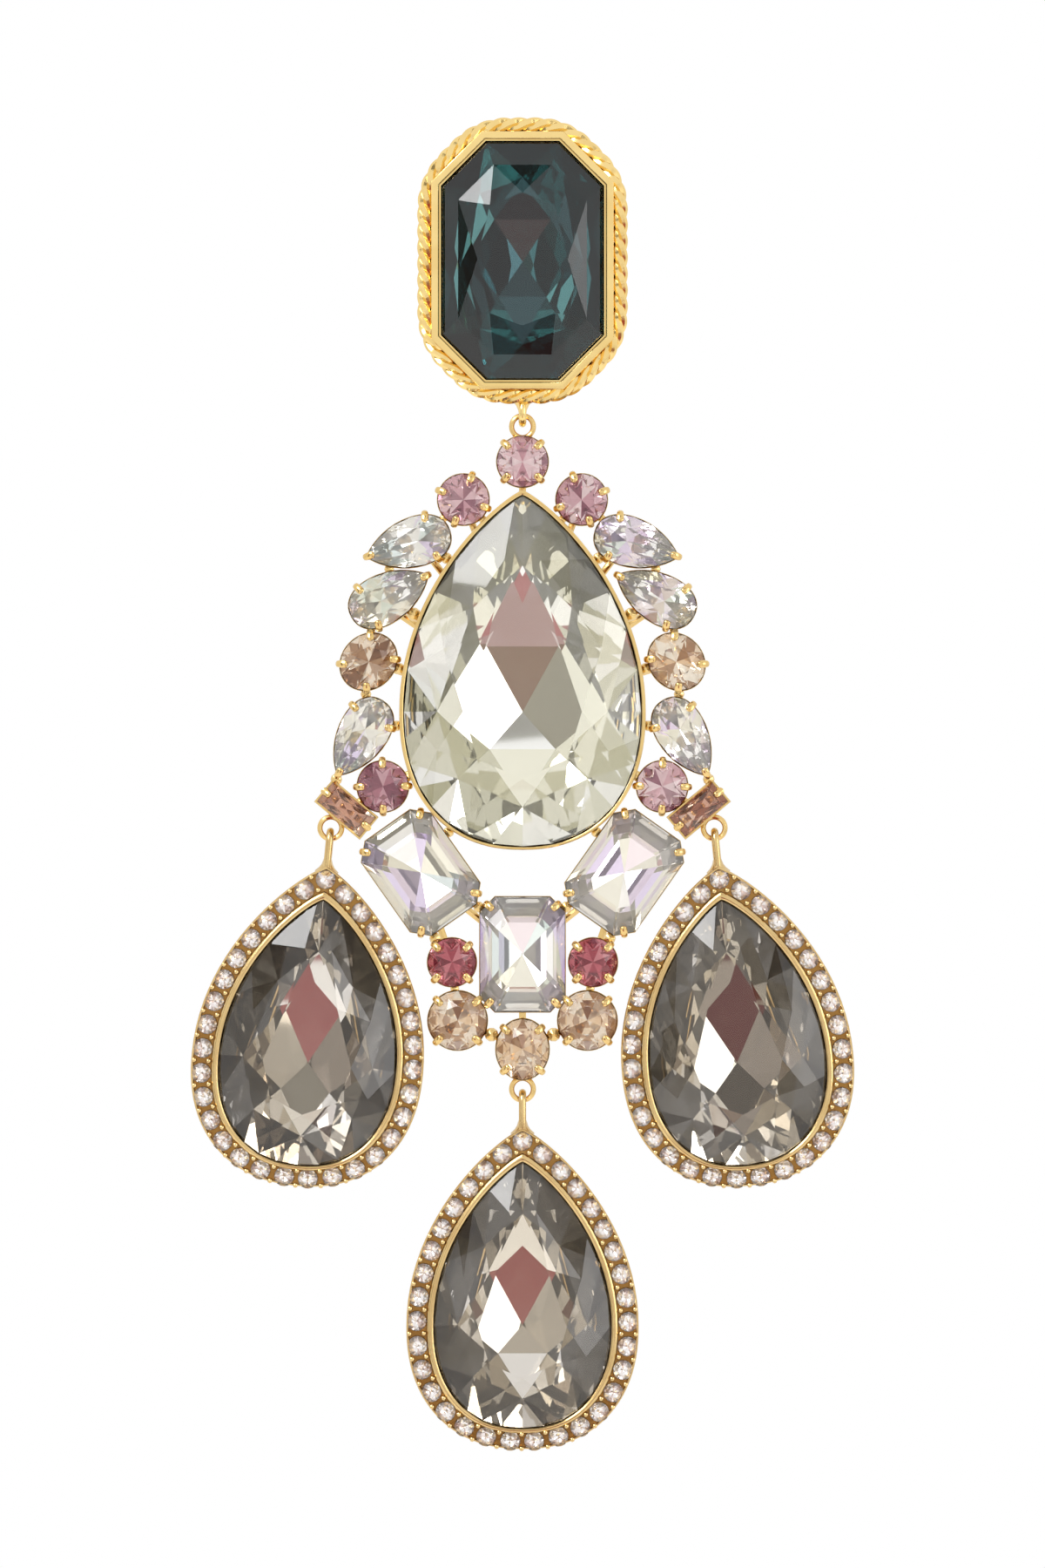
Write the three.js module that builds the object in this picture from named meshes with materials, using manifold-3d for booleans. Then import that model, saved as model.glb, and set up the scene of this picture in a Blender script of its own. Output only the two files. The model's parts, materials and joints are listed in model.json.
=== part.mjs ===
// Chandelier earring: an octagon stud, a centre piece set with stones, and three pavé drops.
// Millimetres. +X is the viewer's right, -Y the front, +Z up.
// The origin is the point on the stud's back where the ear lobe is clipped.
import * as THREE from "three";
import { mergeVertices } from "three/addons/utils/BufferGeometryUtils.js";
import Module from "manifold-3d";

const wasm = await Module();
wasm.setup();

// Clearances
const seatGap = 0.12;              // between a stone and the metal round it
const stoneGap = 0.35;             // between a stone's edge and the bezel beside it
const linkGap = 0.12;              // between two links that hang in each other
const clipGap = 0.05;              // between the clip's foot and the back plate

// Stud
const studLength = 26.8;           // octagon stone
const studWidth = 18.2;
const studCorner = 5.0;
const studBezel = 1.25;            // flat frame round the stone
const studDepth = 6.6;             // back plate to the front of the bezel
const studLift = 3.0;              // the lobe is clipped this far above the stone's middle
const ropeWire = 1.8;              // thickness of the rope edge
const ropeStrand = 1.9;            // one turn of the rope
const ropeTwist = 0.75;            // how far a strand leans along the edge
const ropeBend = 3.4;              // rounding of the rope's corners
const ropeSeat = 0.4;              // middle of the rope outside the frame, as a share of its thickness
const ropeWaist = 0.74;            // thickness between two strands, as a share
const studSunk = 0.4;              // front of the frame to the front of the stone's girdle
const studChamfer = 0.8;           // depth of the chamfer round the back plate
const studBackShare = 0.93;        // back plate as a share of the frame
const eyeDepth = 0.7;              // the eye hangs this far forward, as a share of the stud's depth

// Clip behind the stud
const clipWidth = 5.0;
const clipPlate = 0.9;
const clipReach = 3.2;             // room for the lobe
const clipFoot = 11.0;             // height of the foot below the pad's middle
const clipPad = 3.6;               // radius of the pad
const clipPadPlate = 1.17;         // its thickness
const clipPadProud = 0.225;        // it stands this far behind the arm

// Links
const linkWire = 0.62;             // small rings soldered to the centre piece
const linkRadius = 1.24;           // middle of the wire
const eyeWire = 0.9;               // eye under the stud
const eyeRadius = 1.3;
const eyeReach = 2.3;              // stud's edge to the middle of the eye's lowest wire
const bailWire = 0.86;             // long loop at the top of each drop
const bailReach = 3.1;             // link's wire to the tip of the halo
const bailSpread = 1.15;           // half the loop's depth, middle of the wire
const ringSink = 0.14;             // a ring's wire reaches this far in past the edge it is soldered to

// Centre piece
const centreLength = 39.6;         // large pear stone
const centreWidth = 26.8;
const centreBezel = 0.45;
const centreLip = 0.55;            // its bezel stands this far in front of its girdle
const colletDepth = 6.3;           // its girdle to the back of its collet
const centreProud = 0.8;           // its girdle stands this far in front of the small stones'
const girdleLine = 1.2;            // small girdles in front of the plane that the links hang in
const cupDepth = 4.3;              // small girdles to the back of their cups
const cupEdge = 0.8;               // small girdles to the front edge of their cups
const cupInset = 0.1;              // a cup's edge inside its stone's outline
const baguetteRim = 0.25;          // a baguette's cup stands out instead, as a frame
const strutWire = 0.85;            // solder bars between cups
const clawWidth = 0.9;
const clawWire = 0.5;
const clawOver = 0.6;              // how far a claw reaches in over the crown
const clawSlack = 0.03;            // between a claw and the stone's space
const clawStraight = 0.15;         // a claw stands straight this far past each side of the girdle
const clawRoot = 0.42;             // depth of a claw's root, as a share of its cup's
const clawRootIn = 0.1;            // and how far in it is, as a share of the stone's reach
const cupTaper = 0.6;              // back of a cup as a share of its front
const strutSink = 0.1;             // solder bars lie this far inside the backs of the cups
const colletWaist = 0.97;          // large collet halfway back, and at its back, as shares of its front
const colletTaper = 0.5;

// Small stones, length by width
const roundSize = 5.8;
const redSize = 5.5;
const champagneSize = 6.7;
const pearLength = 9.8;
const pearWidth = 5.6;
const ovalLength = 6.9;
const ovalWidth = 6.0;
const baguetteLength = 6.2;
const baguetteWidth = 2.8;
const octagonLength = 13.0;
const octagonWidth = 9.6;
const octagonCorner = 1.7;
const baguetteSlide = 0.26;        // share of the low chaton's size that the baguette is slid along
const apronRoom = 0.97;            // between the side octagons and the lower cluster
const apronSag = 7.5;              // centre octagon's middle to the champagne stones' middles
const redSink = 0.9;               // red stones sit this far below the centre octagon's middle
const apronGap = 0.45;             // between stones of the lower cluster

// Drops
const dropLength = 30.0;           // pear stone
const dropWidth = 20.0;
const dropGirdle = 1.3;            // its girdle in front of the plane that the links hang in
const haloRim = 3.2;               // stone's edge to the edge of the halo
const haloBezel = 0.85;
const haloPlate = 2.4;
const haloLip = 0.4;               // the bezel stands this far in front of the plate
const haloBack = 5.9;              // girdle to the back of the cup
const haloWaist = 0.62;            // where the cup behind the halo starts to round in, as a share of that
const plateTaper = 0.96;           // back of the halo's plate as a share of its front
const cupShares = [0.985, 0.9, 0.5];  // cup behind the halo: front, waist and back, as shares of the bezel
const bailSink = 0.95;             // the loop's lowest wire reaches this far in past the halo's tip
const paveSize = 2.3;
const pavePitch = 2.72;
const paveProud = 0.5;
const paveTable = 0.52;            // a pavé stone's table, as a share of its girdle
const sideRoom = 0.7;              // between a side drop and the stones beside it
const widestLean = 30;             // the side drops never lean out more

// Cuts: heights in millimetres, the rest as shares of the stone's outline or of the height
const girdle = 0.36;
const kiteCut = { inner: 0.38, upper: 0.45, outer: 0.66, knee: 0.55 };
const bigCut = { crown: 3.2, table: 0.5, star: 0.76, pavilion: 5.2, ...kiteCut };
const studCut = { crown: 2.7, table: 0.56, star: 0.8, pavilion: 4.9, ...kiteCut };
const dropCut = { crown: 2.6, table: 0.5, star: 0.76, pavilion: 4.6, ...kiteCut };
const smallCut = { crown: 1.35, table: 0.52, star: 0.8, pavilion: 2.7, inner: 0.5 };
const octagonCut = { crown: 1.7, table: 0.56, step: 0.8, pavilion: 2.8, knee: 0.6 };
const baguetteCut = { crown: 0.9, table: 0.42, step: 0.74, pavilion: 1.9, knee: 0.5 };
const kneeTaper = 0.72;            // how much of its outline a step cut loses down to its knee
const stepLift = 1.25;             // a step cut's crown is this much steeper at the edge

// Shape of a pear: widest level, and how its tip and foot round in
const pearWide = 0.616;
const pearTip = 0.83;
const pearFoot = 2.25;

const finish = {
  gold: { color: 0xd9a441, roughness: 0.25, metalness: 1 },
  teal: { color: 0x1d4a4c, roughness: 0.05, metalness: 0.1 },
  clear: { color: 0xe9e8d8, roughness: 0.04, metalness: 0.1 },
  pink: { color: 0xc08b93, roughness: 0.05, metalness: 0.1 },
  red: { color: 0x9a3f45, roughness: 0.05, metalness: 0.1 },
  champagne: { color: 0xd8b48a, roughness: 0.05, metalness: 0.1 },
  peach: { color: 0xcf9d7a, roughness: 0.05, metalness: 0.1 },
  smoke: { color: 0x8f887a, roughness: 0.05, metalness: 0.1 },
};

// Outlines: at(t) walks clockwise from the top, seen from the front, about the middle of the cut
function pear(length, width) {
  const at = (t) => {
    const up = Math.cos(2 * Math.PI * t);
    const reach = up >= 0 ? length * pearWide : length * (1 - pearWide);
    const half = up >= 0
      ? Math.max(0, 1 - up * up) ** pearTip
      : Math.max(0, 1 - (-up) ** pearFoot) ** (1 / pearFoot);
    return [Math.sign(Math.sin(2 * Math.PI * t)) * half * width / 2, up * reach];
  };
  return { length, width, at, grown: (by) => pear(length + 2 * by, width + 2 * by) };
}

function oval(length, width) {
  const at = (t) => [Math.sin(2 * Math.PI * t) * width / 2, Math.cos(2 * Math.PI * t) * length / 2];
  return { length, width, at, grown: (by) => oval(length + 2 * by, width + 2 * by) };
}

function alongEdges(corners) {
  const count = corners.length;
  return (t) => {
    const place = (t * count - 0.5 + count) % count;
    const from = corners[Math.floor(place)];
    const to = corners[(Math.floor(place) + 1) % count];
    const share = place - Math.floor(place);
    return [from[0] + (to[0] - from[0]) * share, from[1] + (to[1] - from[1]) * share];
  };
}

function octagon(length, width, corner) {
  const x = width / 2;
  const z = length / 2;
  const corners = [
    [x - corner, z], [x, z - corner], [x, corner - z], [x - corner, -z],
    [corner - x, -z], [-x, corner - z], [-x, z - corner], [corner - x, z],
  ];
  const grown = (by) => octagon(length + 2 * by, width + 2 * by, corner + by * (2 - Math.SQRT2));
  return { length, width, corners, at: alongEdges(corners), grown };
}

function oblong(length, width) {
  const x = width / 2;
  const z = length / 2;
  const corners = [[x, z], [x, -z], [-x, -z], [-x, z]];
  const grown = (by) => oblong(length + 2 * by, width + 2 * by);
  return { length, width, corners, at: alongEdges(corners), grown };
}

// Rings of points and the closed bodies between them, front ring first
function ring(shape, count, y, share = 1, phase = 0) {
  return Array.from({ length: count }, (_, i) => {
    const [x, z] = shape.at((i + phase) / count);
    return new THREE.Vector3(x * share, y, z * share);
  });
}

const cornerRing = (shape, y, share = 1) =>
  shape.corners.map(([x, z]) => new THREE.Vector3(x * share, y, z * share));

function facetBody(facets) {
  const geometry = new THREE.BufferGeometry().setFromPoints(facets.flat());
  return mergeVertices(geometry, 1e-5);
}

function band(front, back) {
  const facets = [];
  const count = Math.max(front.length, back.length);
  for (let i = 0; i < count; i += 1) {
    const next = (i + 1) % count;
    if (front.length > 1) facets.push([front[i], front[next], back.length > 1 ? back[i] : back[0]]);
    if (back.length > 1) facets.push([front.length > 1 ? front[next] : front[0], back[next], back[i]]);
  }
  return facets;
}

function capFacets(points, isFront) {
  const facets = [];
  for (let i = 1; i < points.length - 1; i += 1) {
    facets.push(isFront ? [points[0], points[i + 1], points[i]] : [points[0], points[i], points[i + 1]]);
  }
  return facets;
}

function loft(rings) {
  const facets = [...capFacets(rings[0], true), ...capFacets(rings.at(-1), false)];
  for (let i = 0; i < rings.length - 1; i += 1) facets.push(...band(rings[i], rings[i + 1]));
  return facetBody(facets);
}

// A wire of square or many-sided section along a closed or open run of points
function tube(points, wire, sides, side, closed) {
  const sections = points.map((point, i) => {
    const before = points[closed ? (i - 1 + points.length) % points.length : Math.max(0, i - 1)];
    const after = points[closed ? (i + 1) % points.length : Math.min(points.length - 1, i + 1)];
    const along = after.clone().sub(before).normalize();
    const out = along.clone().cross(side).normalize();
    return Array.from({ length: sides }, (_, k) => {
      const turn = -2 * Math.PI * (k + 0.5) / sides;
      return point.clone()
        .addScaledVector(out, Math.cos(turn) * wire / 2)
        .addScaledVector(side, Math.sin(turn) * wire / 2);
    });
  });
  if (closed) {
    const facets = sections.flatMap((section, i) => band(section, sections[(i + 1) % sections.length]));
    return facetBody(facets);
  }
  return loft(sections);
}

function circlePoints(radius, count, across, up, middle) {
  return Array.from({ length: count }, (_, i) => {
    const turn = 2 * Math.PI * i / count;
    return middle.clone()
      .addScaledVector(across, Math.sin(turn) * radius)
      .addScaledVector(up, Math.cos(turn) * radius);
  });
}

// Joining and cutting
function solid(geometry) {
  const vertProperties = new Float32Array(geometry.attributes.position.array);
  const triVerts = new Uint32Array(geometry.index.array);
  return new wasm.Manifold(new wasm.Mesh({ numProp: 3, vertProperties, triVerts }));
}

function joined(geometries) {
  return geometries.map(solid).reduce((whole, next) => whole.add(next));
}

function toGeometry(body) {
  const mesh = body.getMesh();
  const geometry = new THREE.BufferGeometry();
  geometry.setAttribute("position", new THREE.BufferAttribute(mesh.vertProperties, 3));
  geometry.setIndex(new THREE.BufferAttribute(mesh.triVerts, 1));
  return geometry;
}

const axisX = new THREE.Vector3(1, 0, 0);
const axisY = new THREE.Vector3(0, 1, 0);
const axisZ = new THREE.Vector3(0, 0, 1);
const radians = THREE.MathUtils.degToRad;

function placement(x, y, z, lean) {
  return new THREE.Matrix4().makeRotationY(radians(lean)).setPosition(x, y, z);
}

// Cut stones. The middle of the girdle is at y = 0 and the table faces -Y.
function crownFacets(shape, cut, mains, perMain) {
  const rise = (1 - cut.star * Math.cos(Math.PI / mains)) / (1 - cut.table);
  const table = ring(shape, mains, -girdle / 2 - cut.crown, cut.table);
  const stars = ring(shape, mains, -girdle / 2 - cut.crown * rise, cut.star, 0.5);
  const edge = ring(shape, mains * perMain, -girdle / 2);
  const facets = capFacets(table, true);
  for (let k = 0; k < mains; k += 1) {
    const last = (k - 1 + mains) % mains;
    facets.push([table[k], table[(k + 1) % mains], stars[k]]);
    facets.push([table[k], stars[k], stars[last]]);
    facets.push([stars[last], stars[k], edge[k * perMain]]);
    for (let j = 0; j < perMain; j += 1) {
      const g = k * perMain + j;
      facets.push([stars[k], edge[(g + 1) % edge.length], edge[g]]);
    }
  }
  return facets;
}

function smallPavilion(shape, cut, mains, perMain) {
  const edge = ring(shape, mains * perMain, girdle / 2);
  const depth = cut.pavilion * (1 - cut.inner * Math.cos(Math.PI / mains));
  const inner = ring(shape, mains, girdle / 2 + depth, cut.inner, 0.5);
  const culet = new THREE.Vector3(0, girdle / 2 + cut.pavilion, 0);
  const facets = [];
  for (let k = 0; k < mains; k += 1) {
    const last = (k - 1 + mains) % mains;
    facets.push([inner[last], inner[k], culet], [edge[k * perMain], inner[k], inner[last]]);
    for (let j = 0; j < perMain; j += 1) {
      const g = k * perMain + j;
      facets.push([edge[g], edge[(g + 1) % edge.length], inner[k]]);
    }
  }
  return facets;
}

// The corner between two flat kites that both run from the culet to an outer point
function kiteCorner(culet, one, two, edgePoint, share) {
  const fall = ([x, z]) => [x / (x * x + z * z), z / (x * x + z * z)];
  const [x1, z1] = fall([one.x, one.z]);
  const [x2, z2] = fall([two.x, two.z]);
  const way = new THREE.Vector2(z1 - z2, x2 - x1).normalize();
  if (way.x * edgePoint.x + way.y * edgePoint.z < 0) way.negate();
  way.multiplyScalar(share * Math.hypot(edgePoint.x, edgePoint.z));
  const depth = culet.y - (culet.y - one.y) * (way.x * x1 + way.y * z1);
  return new THREE.Vector3(way.x, depth, way.y);
}

// Pavilion of a large stone: four kites round the culet, then facets out to a ring of outer points
function largePavilion(shape, cut, mains, perMain) {
  const edge = ring(shape, mains * perMain, girdle / 2);
  const outer = ring(shape, mains, girdle / 2 + cut.pavilion * cut.knee, cut.outer);
  const culet = new THREE.Vector3(0, girdle / 2 + cut.pavilion, 0);
  const facets = [];
  const corners = [];
  for (let k = 1; k < mains; k += 2) {
    const upper = edge[k * perMain].z > 0;
    const share = upper ? cut.upper : cut.inner;
    corners.push(kiteCorner(culet, outer[k - 1], outer[(k + 1) % mains], edge[k * perMain], share));
  }
  for (let k = 0; k < mains; k += 1) {
    const next = (k + 1) % mains;
    const corner = corners[Math.floor(k / 2)];
    facets.push([outer[k], edge[k * perMain + perMain / 2], outer[next]], [outer[k], outer[next], corner]);
    if (k % 2 === 0) {
      const last = corners[(k / 2 - 1 + corners.length) % corners.length];
      facets.push([last, corner, culet], [outer[k], corner, last]);
    }
    for (let j = -perMain / 2; j < perMain / 2; j += 1) {
      const g = (k * perMain + j + edge.length) % edge.length;
      facets.push([edge[g], edge[(g + 1) % edge.length], outer[k]]);
    }
  }
  return facets;
}

function brilliant(shape, cut, mains, perMain) {
  const waist = band(ring(shape, mains * perMain, -girdle / 2), ring(shape, mains * perMain, girdle / 2));
  const pavilion = cut.outer ? largePavilion : smallPavilion;
  return facetBody([
    ...crownFacets(shape, cut, mains, perMain), ...waist, ...pavilion(shape, cut, mains, perMain),
  ]);
}

function stepCut(shape, cut) {
  return loft([
    cornerRing(shape, -girdle / 2 - cut.crown, cut.table),
    cornerRing(shape, -girdle / 2 - cut.crown * (1 - cut.step) / (1 - cut.table) * stepLift, cut.step),
    cornerRing(shape, -girdle / 2),
    cornerRing(shape, girdle / 2),
    cornerRing(shape, girdle / 2 + cut.pavilion * cut.knee, 1 - cut.knee * kneeTaper),
    [new THREE.Vector3(0, girdle / 2 + cut.pavilion, 0)],
  ]);
}

// The space of a large stone, open to the front
function openSpace(shape, cut, mains, perMain) {
  const wide = shape.grown(seatGap);
  const mouth = ring(wide, mains * perMain, -girdle / 2 - cut.crown * 2);
  const edge = ring(wide, mains * perMain, girdle / 2);
  const pavilion = largePavilion(wide, cut, mains, perMain);
  return facetBody([...capFacets(mouth, true), ...band(mouth, edge), ...pavilion]).translate(0, seatGap, 0);
}

// Hollow behind a small stone's girdle
const level = (shape, count, y, share) =>
  (shape.corners ? cornerRing(shape, y, share) : ring(shape, count, y, share));
const kneeShare = (cut) => 1 - cut.knee * kneeTaper;

function pocket(shape, cut, count, gap) {
  const wide = shape.grown(gap);
  const kneeAt = girdle / 2 + cut.pavilion * cut.knee + gap;
  const knee = cut.knee ? [level(wide, count, kneeAt, kneeShare(cut) + 0.02)] : [];
  return [...knee, [new THREE.Vector3(0, girdle / 2 + cut.pavilion + gap * 1.5, 0)]];
}

// Cup and claws of a small stone. The cup's own hollow is a little roomier than the stone's space.
function cup({ shape, cut, mains, rim }) {
  const count = mains + 2;
  const front = girdle / 2 + cupEdge;
  const roomy = seatGap * 2;
  const knee = cut.knee ? cut.pavilion * cut.knee : cut.pavilion;
  const fall = cut.knee ? 1 - kneeShare(cut) : 1;
  const sag = shape.corners ? 1 : 1 / Math.cos(Math.PI / count);
  const inner = (1 - fall * (cupEdge - roomy) / knee) * sag;
  const edge = shape.grown(rim);
  return loft([
    ...pocket(shape, cut, count, roomy).reverse(), level(shape.grown(roomy), count, front, inner),
    level(edge, count, front, 1), level(edge, count, cupDepth, cupTaper),
  ]);
}

function claw({ shape, cut }, t) {
  const [x, z] = shape.at(t);
  const [before, after] = [shape.at(t - 0.01), shape.at(t + 0.01)];
  const along = new THREE.Vector3(after[0] - before[0], 0, after[1] - before[1]).normalize();
  const out = new THREE.Vector3(-along.z, 0, along.x);
  const reach = x * out.x + z * out.z;
  const crownHeight = clawOver * cut.crown / ((1 - cut.table) * reach);
  const beside = seatGap + clawWire / 2 + clawSlack;
  const stations = [
    [-clawOver, -girdle / 2 - crownHeight - seatGap - clawWire],
    [beside, -girdle / 2 - clawStraight],
    [beside, girdle / 2 + clawStraight],
    [-reach * clawRootIn, cupDepth * clawRoot],
  ];
  const corners = [[1, -1], [-1, -1], [0, 1]];
  return loft(stations.map(([off, y]) => corners.map(([a, b]) => new THREE.Vector3(x, y, z)
    .addScaledVector(out, off + b * clawWire / 2)
    .addScaledVector(along, a * clawWidth / 2))));
}

// The small stones: outline, cut, main facets, cup's edge past the outline, and where the claws stand,
// as shares of the way round
const quarters = [0.125, 0.375, 0.625, 0.875];
const pearClaws = [0, 0.32, 0.68];
const rounded = (shape, claws) => ({ shape, cut: smallCut, mains: 8, rim: -cupInset, claws });
const kinds = {
  round: rounded(oval(roundSize, roundSize), quarters),
  red: rounded(oval(redSize, redSize), quarters),
  champagne: rounded(oval(champagneSize, champagneSize), quarters),
  pear: rounded(pear(pearLength, pearWidth), pearClaws),
  oval: rounded(oval(ovalLength, ovalWidth), quarters),
  baguette: { shape: oblong(baguetteLength, baguetteWidth), cut: baguetteCut, rim: baguetteRim,
    claws: [0, 0.5] },
  octagon: { shape: octagon(octagonLength, octagonWidth, octagonCorner), cut: octagonCut, rim: -cupInset,
    claws: quarters },
};

const cutStone = ({ shape, cut, mains }) =>
  (shape.corners ? stepCut(shape, cut) : brilliant(shape, cut, mains, 2));

// The space that a small stone needs: the same cut on a slightly larger outline
const stoneSpace = (kind) =>
  cutStone({ ...kind, shape: kind.shape.grown(seatGap) }).scale(1, 1 + seatGap * 0.8, 1);

// Outline of a placed stone, and the room between two of them
function outlineOf({ kind, x, z, lean, shape = kinds[kind].shape }) {
  const turn = radians(lean);
  return Array.from({ length: outlineSteps }, (_, i) => {
    const [a, b] = shape.at(i / outlineSteps);
    return [x + a * Math.cos(turn) + b * Math.sin(turn), z + b * Math.cos(turn) - a * Math.sin(turn)];
  });
}

function toEdges([x, z], outline) {
  let least = Infinity;
  outline.forEach(([x0, z0], i) => {
    const [x1, z1] = outline[(i + 1) % outline.length];
    const [dx, dz] = [x1 - x0, z1 - z0];
    const share = Math.min(1, Math.max(0, ((x - x0) * dx + (z - z0) * dz) / (dx * dx + dz * dz)));
    least = Math.min(least, Math.hypot(x - x0 - share * dx, z - z0 - share * dz));
  });
  return least;
}

// True where two stones lie close enough for their room to matter
function mayMeet(one, two, room) {
  const reach = (place) => (place.shape ?? kinds[place.kind].shape).length * pearWide;
  return Math.hypot(one.x - two.x, one.z - two.z) - reach(one) - reach(two) < room;
}

function roomBetween(one, two) {
  const [a, b] = [outlineOf(one), outlineOf(two)];
  return Math.min(...a.map((point) => toEdges(point, b)), ...b.map((point) => toEdges(point, a)));
}

// Coming back along a run of places, the last one that keeps its room from every stone before it
function closest(placeAt, from, room, before) {
  let place = placeAt(from);
  for (let at = from; at > 0; at -= runStep) {
    const next = placeAt(at);
    if (before.some((other) => mayMeet(next, other, room) && roomBetween(next, other) < room)) return place;
    place = next;
  }
  return place;
}

// Stones down the right side of the large bezel. room is the space to the stones before, stand the extra
// space to the bezel, and turn the stone's lean against the edge's own direction.
const outlineSteps = 64;           // points that stand for an outline where rooms are measured
const runStep = 0.02;              // fineness of that search
const runAhead = 14;               // no two neighbours are this far apart along the edge
const centreShape = pear(centreLength, centreWidth);
const centreEdge = centreShape.grown(seatGap + centreBezel);
const sideRun = [
  { name: "chaton", kind: "round", color: "pink", room: 2.16, stand: 0, turn: -20 },
  { name: "upper_pear", kind: "pear", color: "clear", room: 0.38, stand: 0.5, turn: 52 },
  { name: "lower_pear", kind: "pear", color: "clear", room: 0.33, stand: 0.3, turn: -129 },
  { name: "oval", kind: "oval", color: "champagne", room: 0.49, stand: 0.5, turn: -124 },
  { name: "side_pear", kind: "pear", color: "clear", room: 0.79, stand: 0.3, turn: 56 },
  { name: "low_chaton", kind: "round", color: "pink", room: 0.28, stand: 0, turn: -65 },
  { name: "baguette", kind: "baguette", color: "peach", beside: "low_chaton", turn: -61 },
  { name: "side_octagon", kind: "octagon", color: "clear", room: 0.87, stand: -0.6, turn: -110 },
];

function edgeTable(shape, count) {
  const rows = [];
  let walked = 0;
  let before = shape.at(0);
  for (let i = 0; i <= count; i += 1) {
    const [x, z] = shape.at(i / count / 2);
    walked += Math.hypot(x - before[0], z - before[1]);
    rows.push({ x, z, walked });
    before = [x, z];
  }
  return rows;
}

function stationAt(edge, walked) {
  const found = edge.findIndex((row) => row.walked >= walked);
  const i = Math.max(1, Math.min(edge.length - 2, found < 0 ? edge.length : found));
  const along = new THREE.Vector2(edge[i + 1].x - edge[i - 1].x, edge[i + 1].z - edge[i - 1].z).normalize();
  const outward = Math.atan2(-along.y, along.x) * 180 / Math.PI;
  return { x: edge[i].x, z: edge[i].z, along, lean: outward };
}

// How far a stone reaches from its middle in one direction
function reachOf(kind, lean, x, z) {
  return Math.max(...outlineOf({ kind, lean, x: 0, z: 0 }).map(([a, b]) => a * x + b * z));
}

function besideEdge(row, station, walked) {
  const out = [-station.along.y, station.along.x];
  const lean = station.lean + row.turn;
  const stand = stoneGap + row.stand + reachOf(row.kind, lean, -out[0], -out[1]);
  const foot = { x: station.x, z: station.z };
  const [x, z] = [foot.x + out[0] * stand, foot.z + out[1] * stand];
  return { ...row, walked, edgeLean: station.lean, foot, lean, x, z };
}

// The baguette lies outside the low chaton, slid along a little
function besideStone(row, chaton) {
  const lean = chaton.edgeLean + row.turn;
  const out = [Math.cos(radians(lean)), -Math.sin(radians(lean))];
  const beyond = roundSize / 2 + stoneGap + baguetteWidth / 2;
  const slide = roundSize * baguetteSlide;
  const x = chaton.x + out[0] * beyond - out[1] * slide;
  const z = chaton.z + out[1] * beyond + out[0] * slide;
  return { ...row, walked: chaton.walked, lean, out, x, z };
}

const topFoot = { x: 0, z: centreEdge.at(0)[1] };
const topChaton = { name: "chaton_top", kind: "round", color: "pink", lean: 0, foot: topFoot,
  x: 0, z: topFoot.z + stoneGap + roundSize / 2 };

function walkSide() {
  const edge = edgeTable(centreEdge, 3000);
  const placed = [{ ...topChaton, walked: 0 }];
  for (const row of sideRun) {
    const last = placed.at(-1);
    const at = (walked) => besideEdge(row, stationAt(edge, walked), walked);
    if (row.beside) placed.push(besideStone(row, placed.find((place) => place.name === row.beside)));
    else placed.push(closest(at, last.walked + runAhead, row.room, placed));
  }
  return placed.slice(1);
}

const sidePlaces = walkSide();
const sidePlace = (name) => sidePlaces.find((place) => place.name === name);
const baguette = sidePlace("baguette");

// The lower cluster hangs between the side octagons, as high as they let it
function apronMiddle() {
  const from = sidePlace("side_octagon");
  const octagonAt = (fall) => ({ kind: "octagon", lean: 0, x: 0, z: from.z - fall });
  const redAt = (fall) => ({ kind: "red", lean: 0, x: redOut, z: from.z - fall - redSink });
  const octagonZ = closest(octagonAt, apronReach, apronRoom, [from]).z;
  const redZ = closest(redAt, apronReach, apronRoom, [from]).z;
  return Math.min(octagonZ, redZ + redSink);
}

const apronReach = octagonLength * 2;
const redOut = (octagonWidth + redSize) / 2 + apronGap;
const centreOctagon = { name: "centre_octagon", kind: "octagon", color: "clear", lean: 0,
  x: 0, z: apronMiddle() };
const redPlace = { name: "red", kind: "red", color: "red", lean: 0,
  x: redOut, z: centreOctagon.z - redSink };
const champagnePlace = { name: "champagne", kind: "champagne", color: "champagne", lean: 0,
  x: octagonWidth / 2 - octagonCorner / 2 + champagneSize / 2 * Math.SQRT1_2 + apronGap * 2.3,
  z: centreOctagon.z - apronSag };
const lowOval = { name: "champagne_centre", kind: "oval", color: "champagne", lean: 0,
  x: 0, z: centreOctagon.z - (octagonLength + ovalLength) / 2 - apronGap * 1.8 };
const rightPlaces = [...sidePlaces, redPlace, champagnePlace];
const mirrored = (place) => ({ ...place, x: -place.x, lean: -place.lean });
const allPlaces = [
  topChaton, centreOctagon, lowOval,
  ...rightPlaces.map((place) => ({ ...place, name: place.name + "_right" })),
  ...rightPlaces.map((place) => ({ ...mirrored(place), name: place.name + "_left" })),
];

// Rings soldered to the centre piece, as the middles of their circles
const ringStand = linkRadius - ringSink;
const topRing = { x: 0, z: topChaton.z + roundSize / 2 + ringStand };
const lowRing = { x: 0, z: lowOval.z - ovalLength / 2 - ringStand };
const ringOut = baguetteWidth / 2 + baguetteRim + ringStand;
const sideRing = { x: baguette.x + baguette.out[0] * ringOut, z: baguette.z + baguette.out[1] * ringOut };
const ringPlaces = [topRing, lowRing, sideRing, { x: -sideRing.x, z: sideRing.z }];

const linkRing = ({ x, z }) =>
  tube(circlePoints(linkRadius, 12, axisX, axisZ, new THREE.Vector3(x, 0, z)), linkWire, 5, axisY, true);

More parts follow.
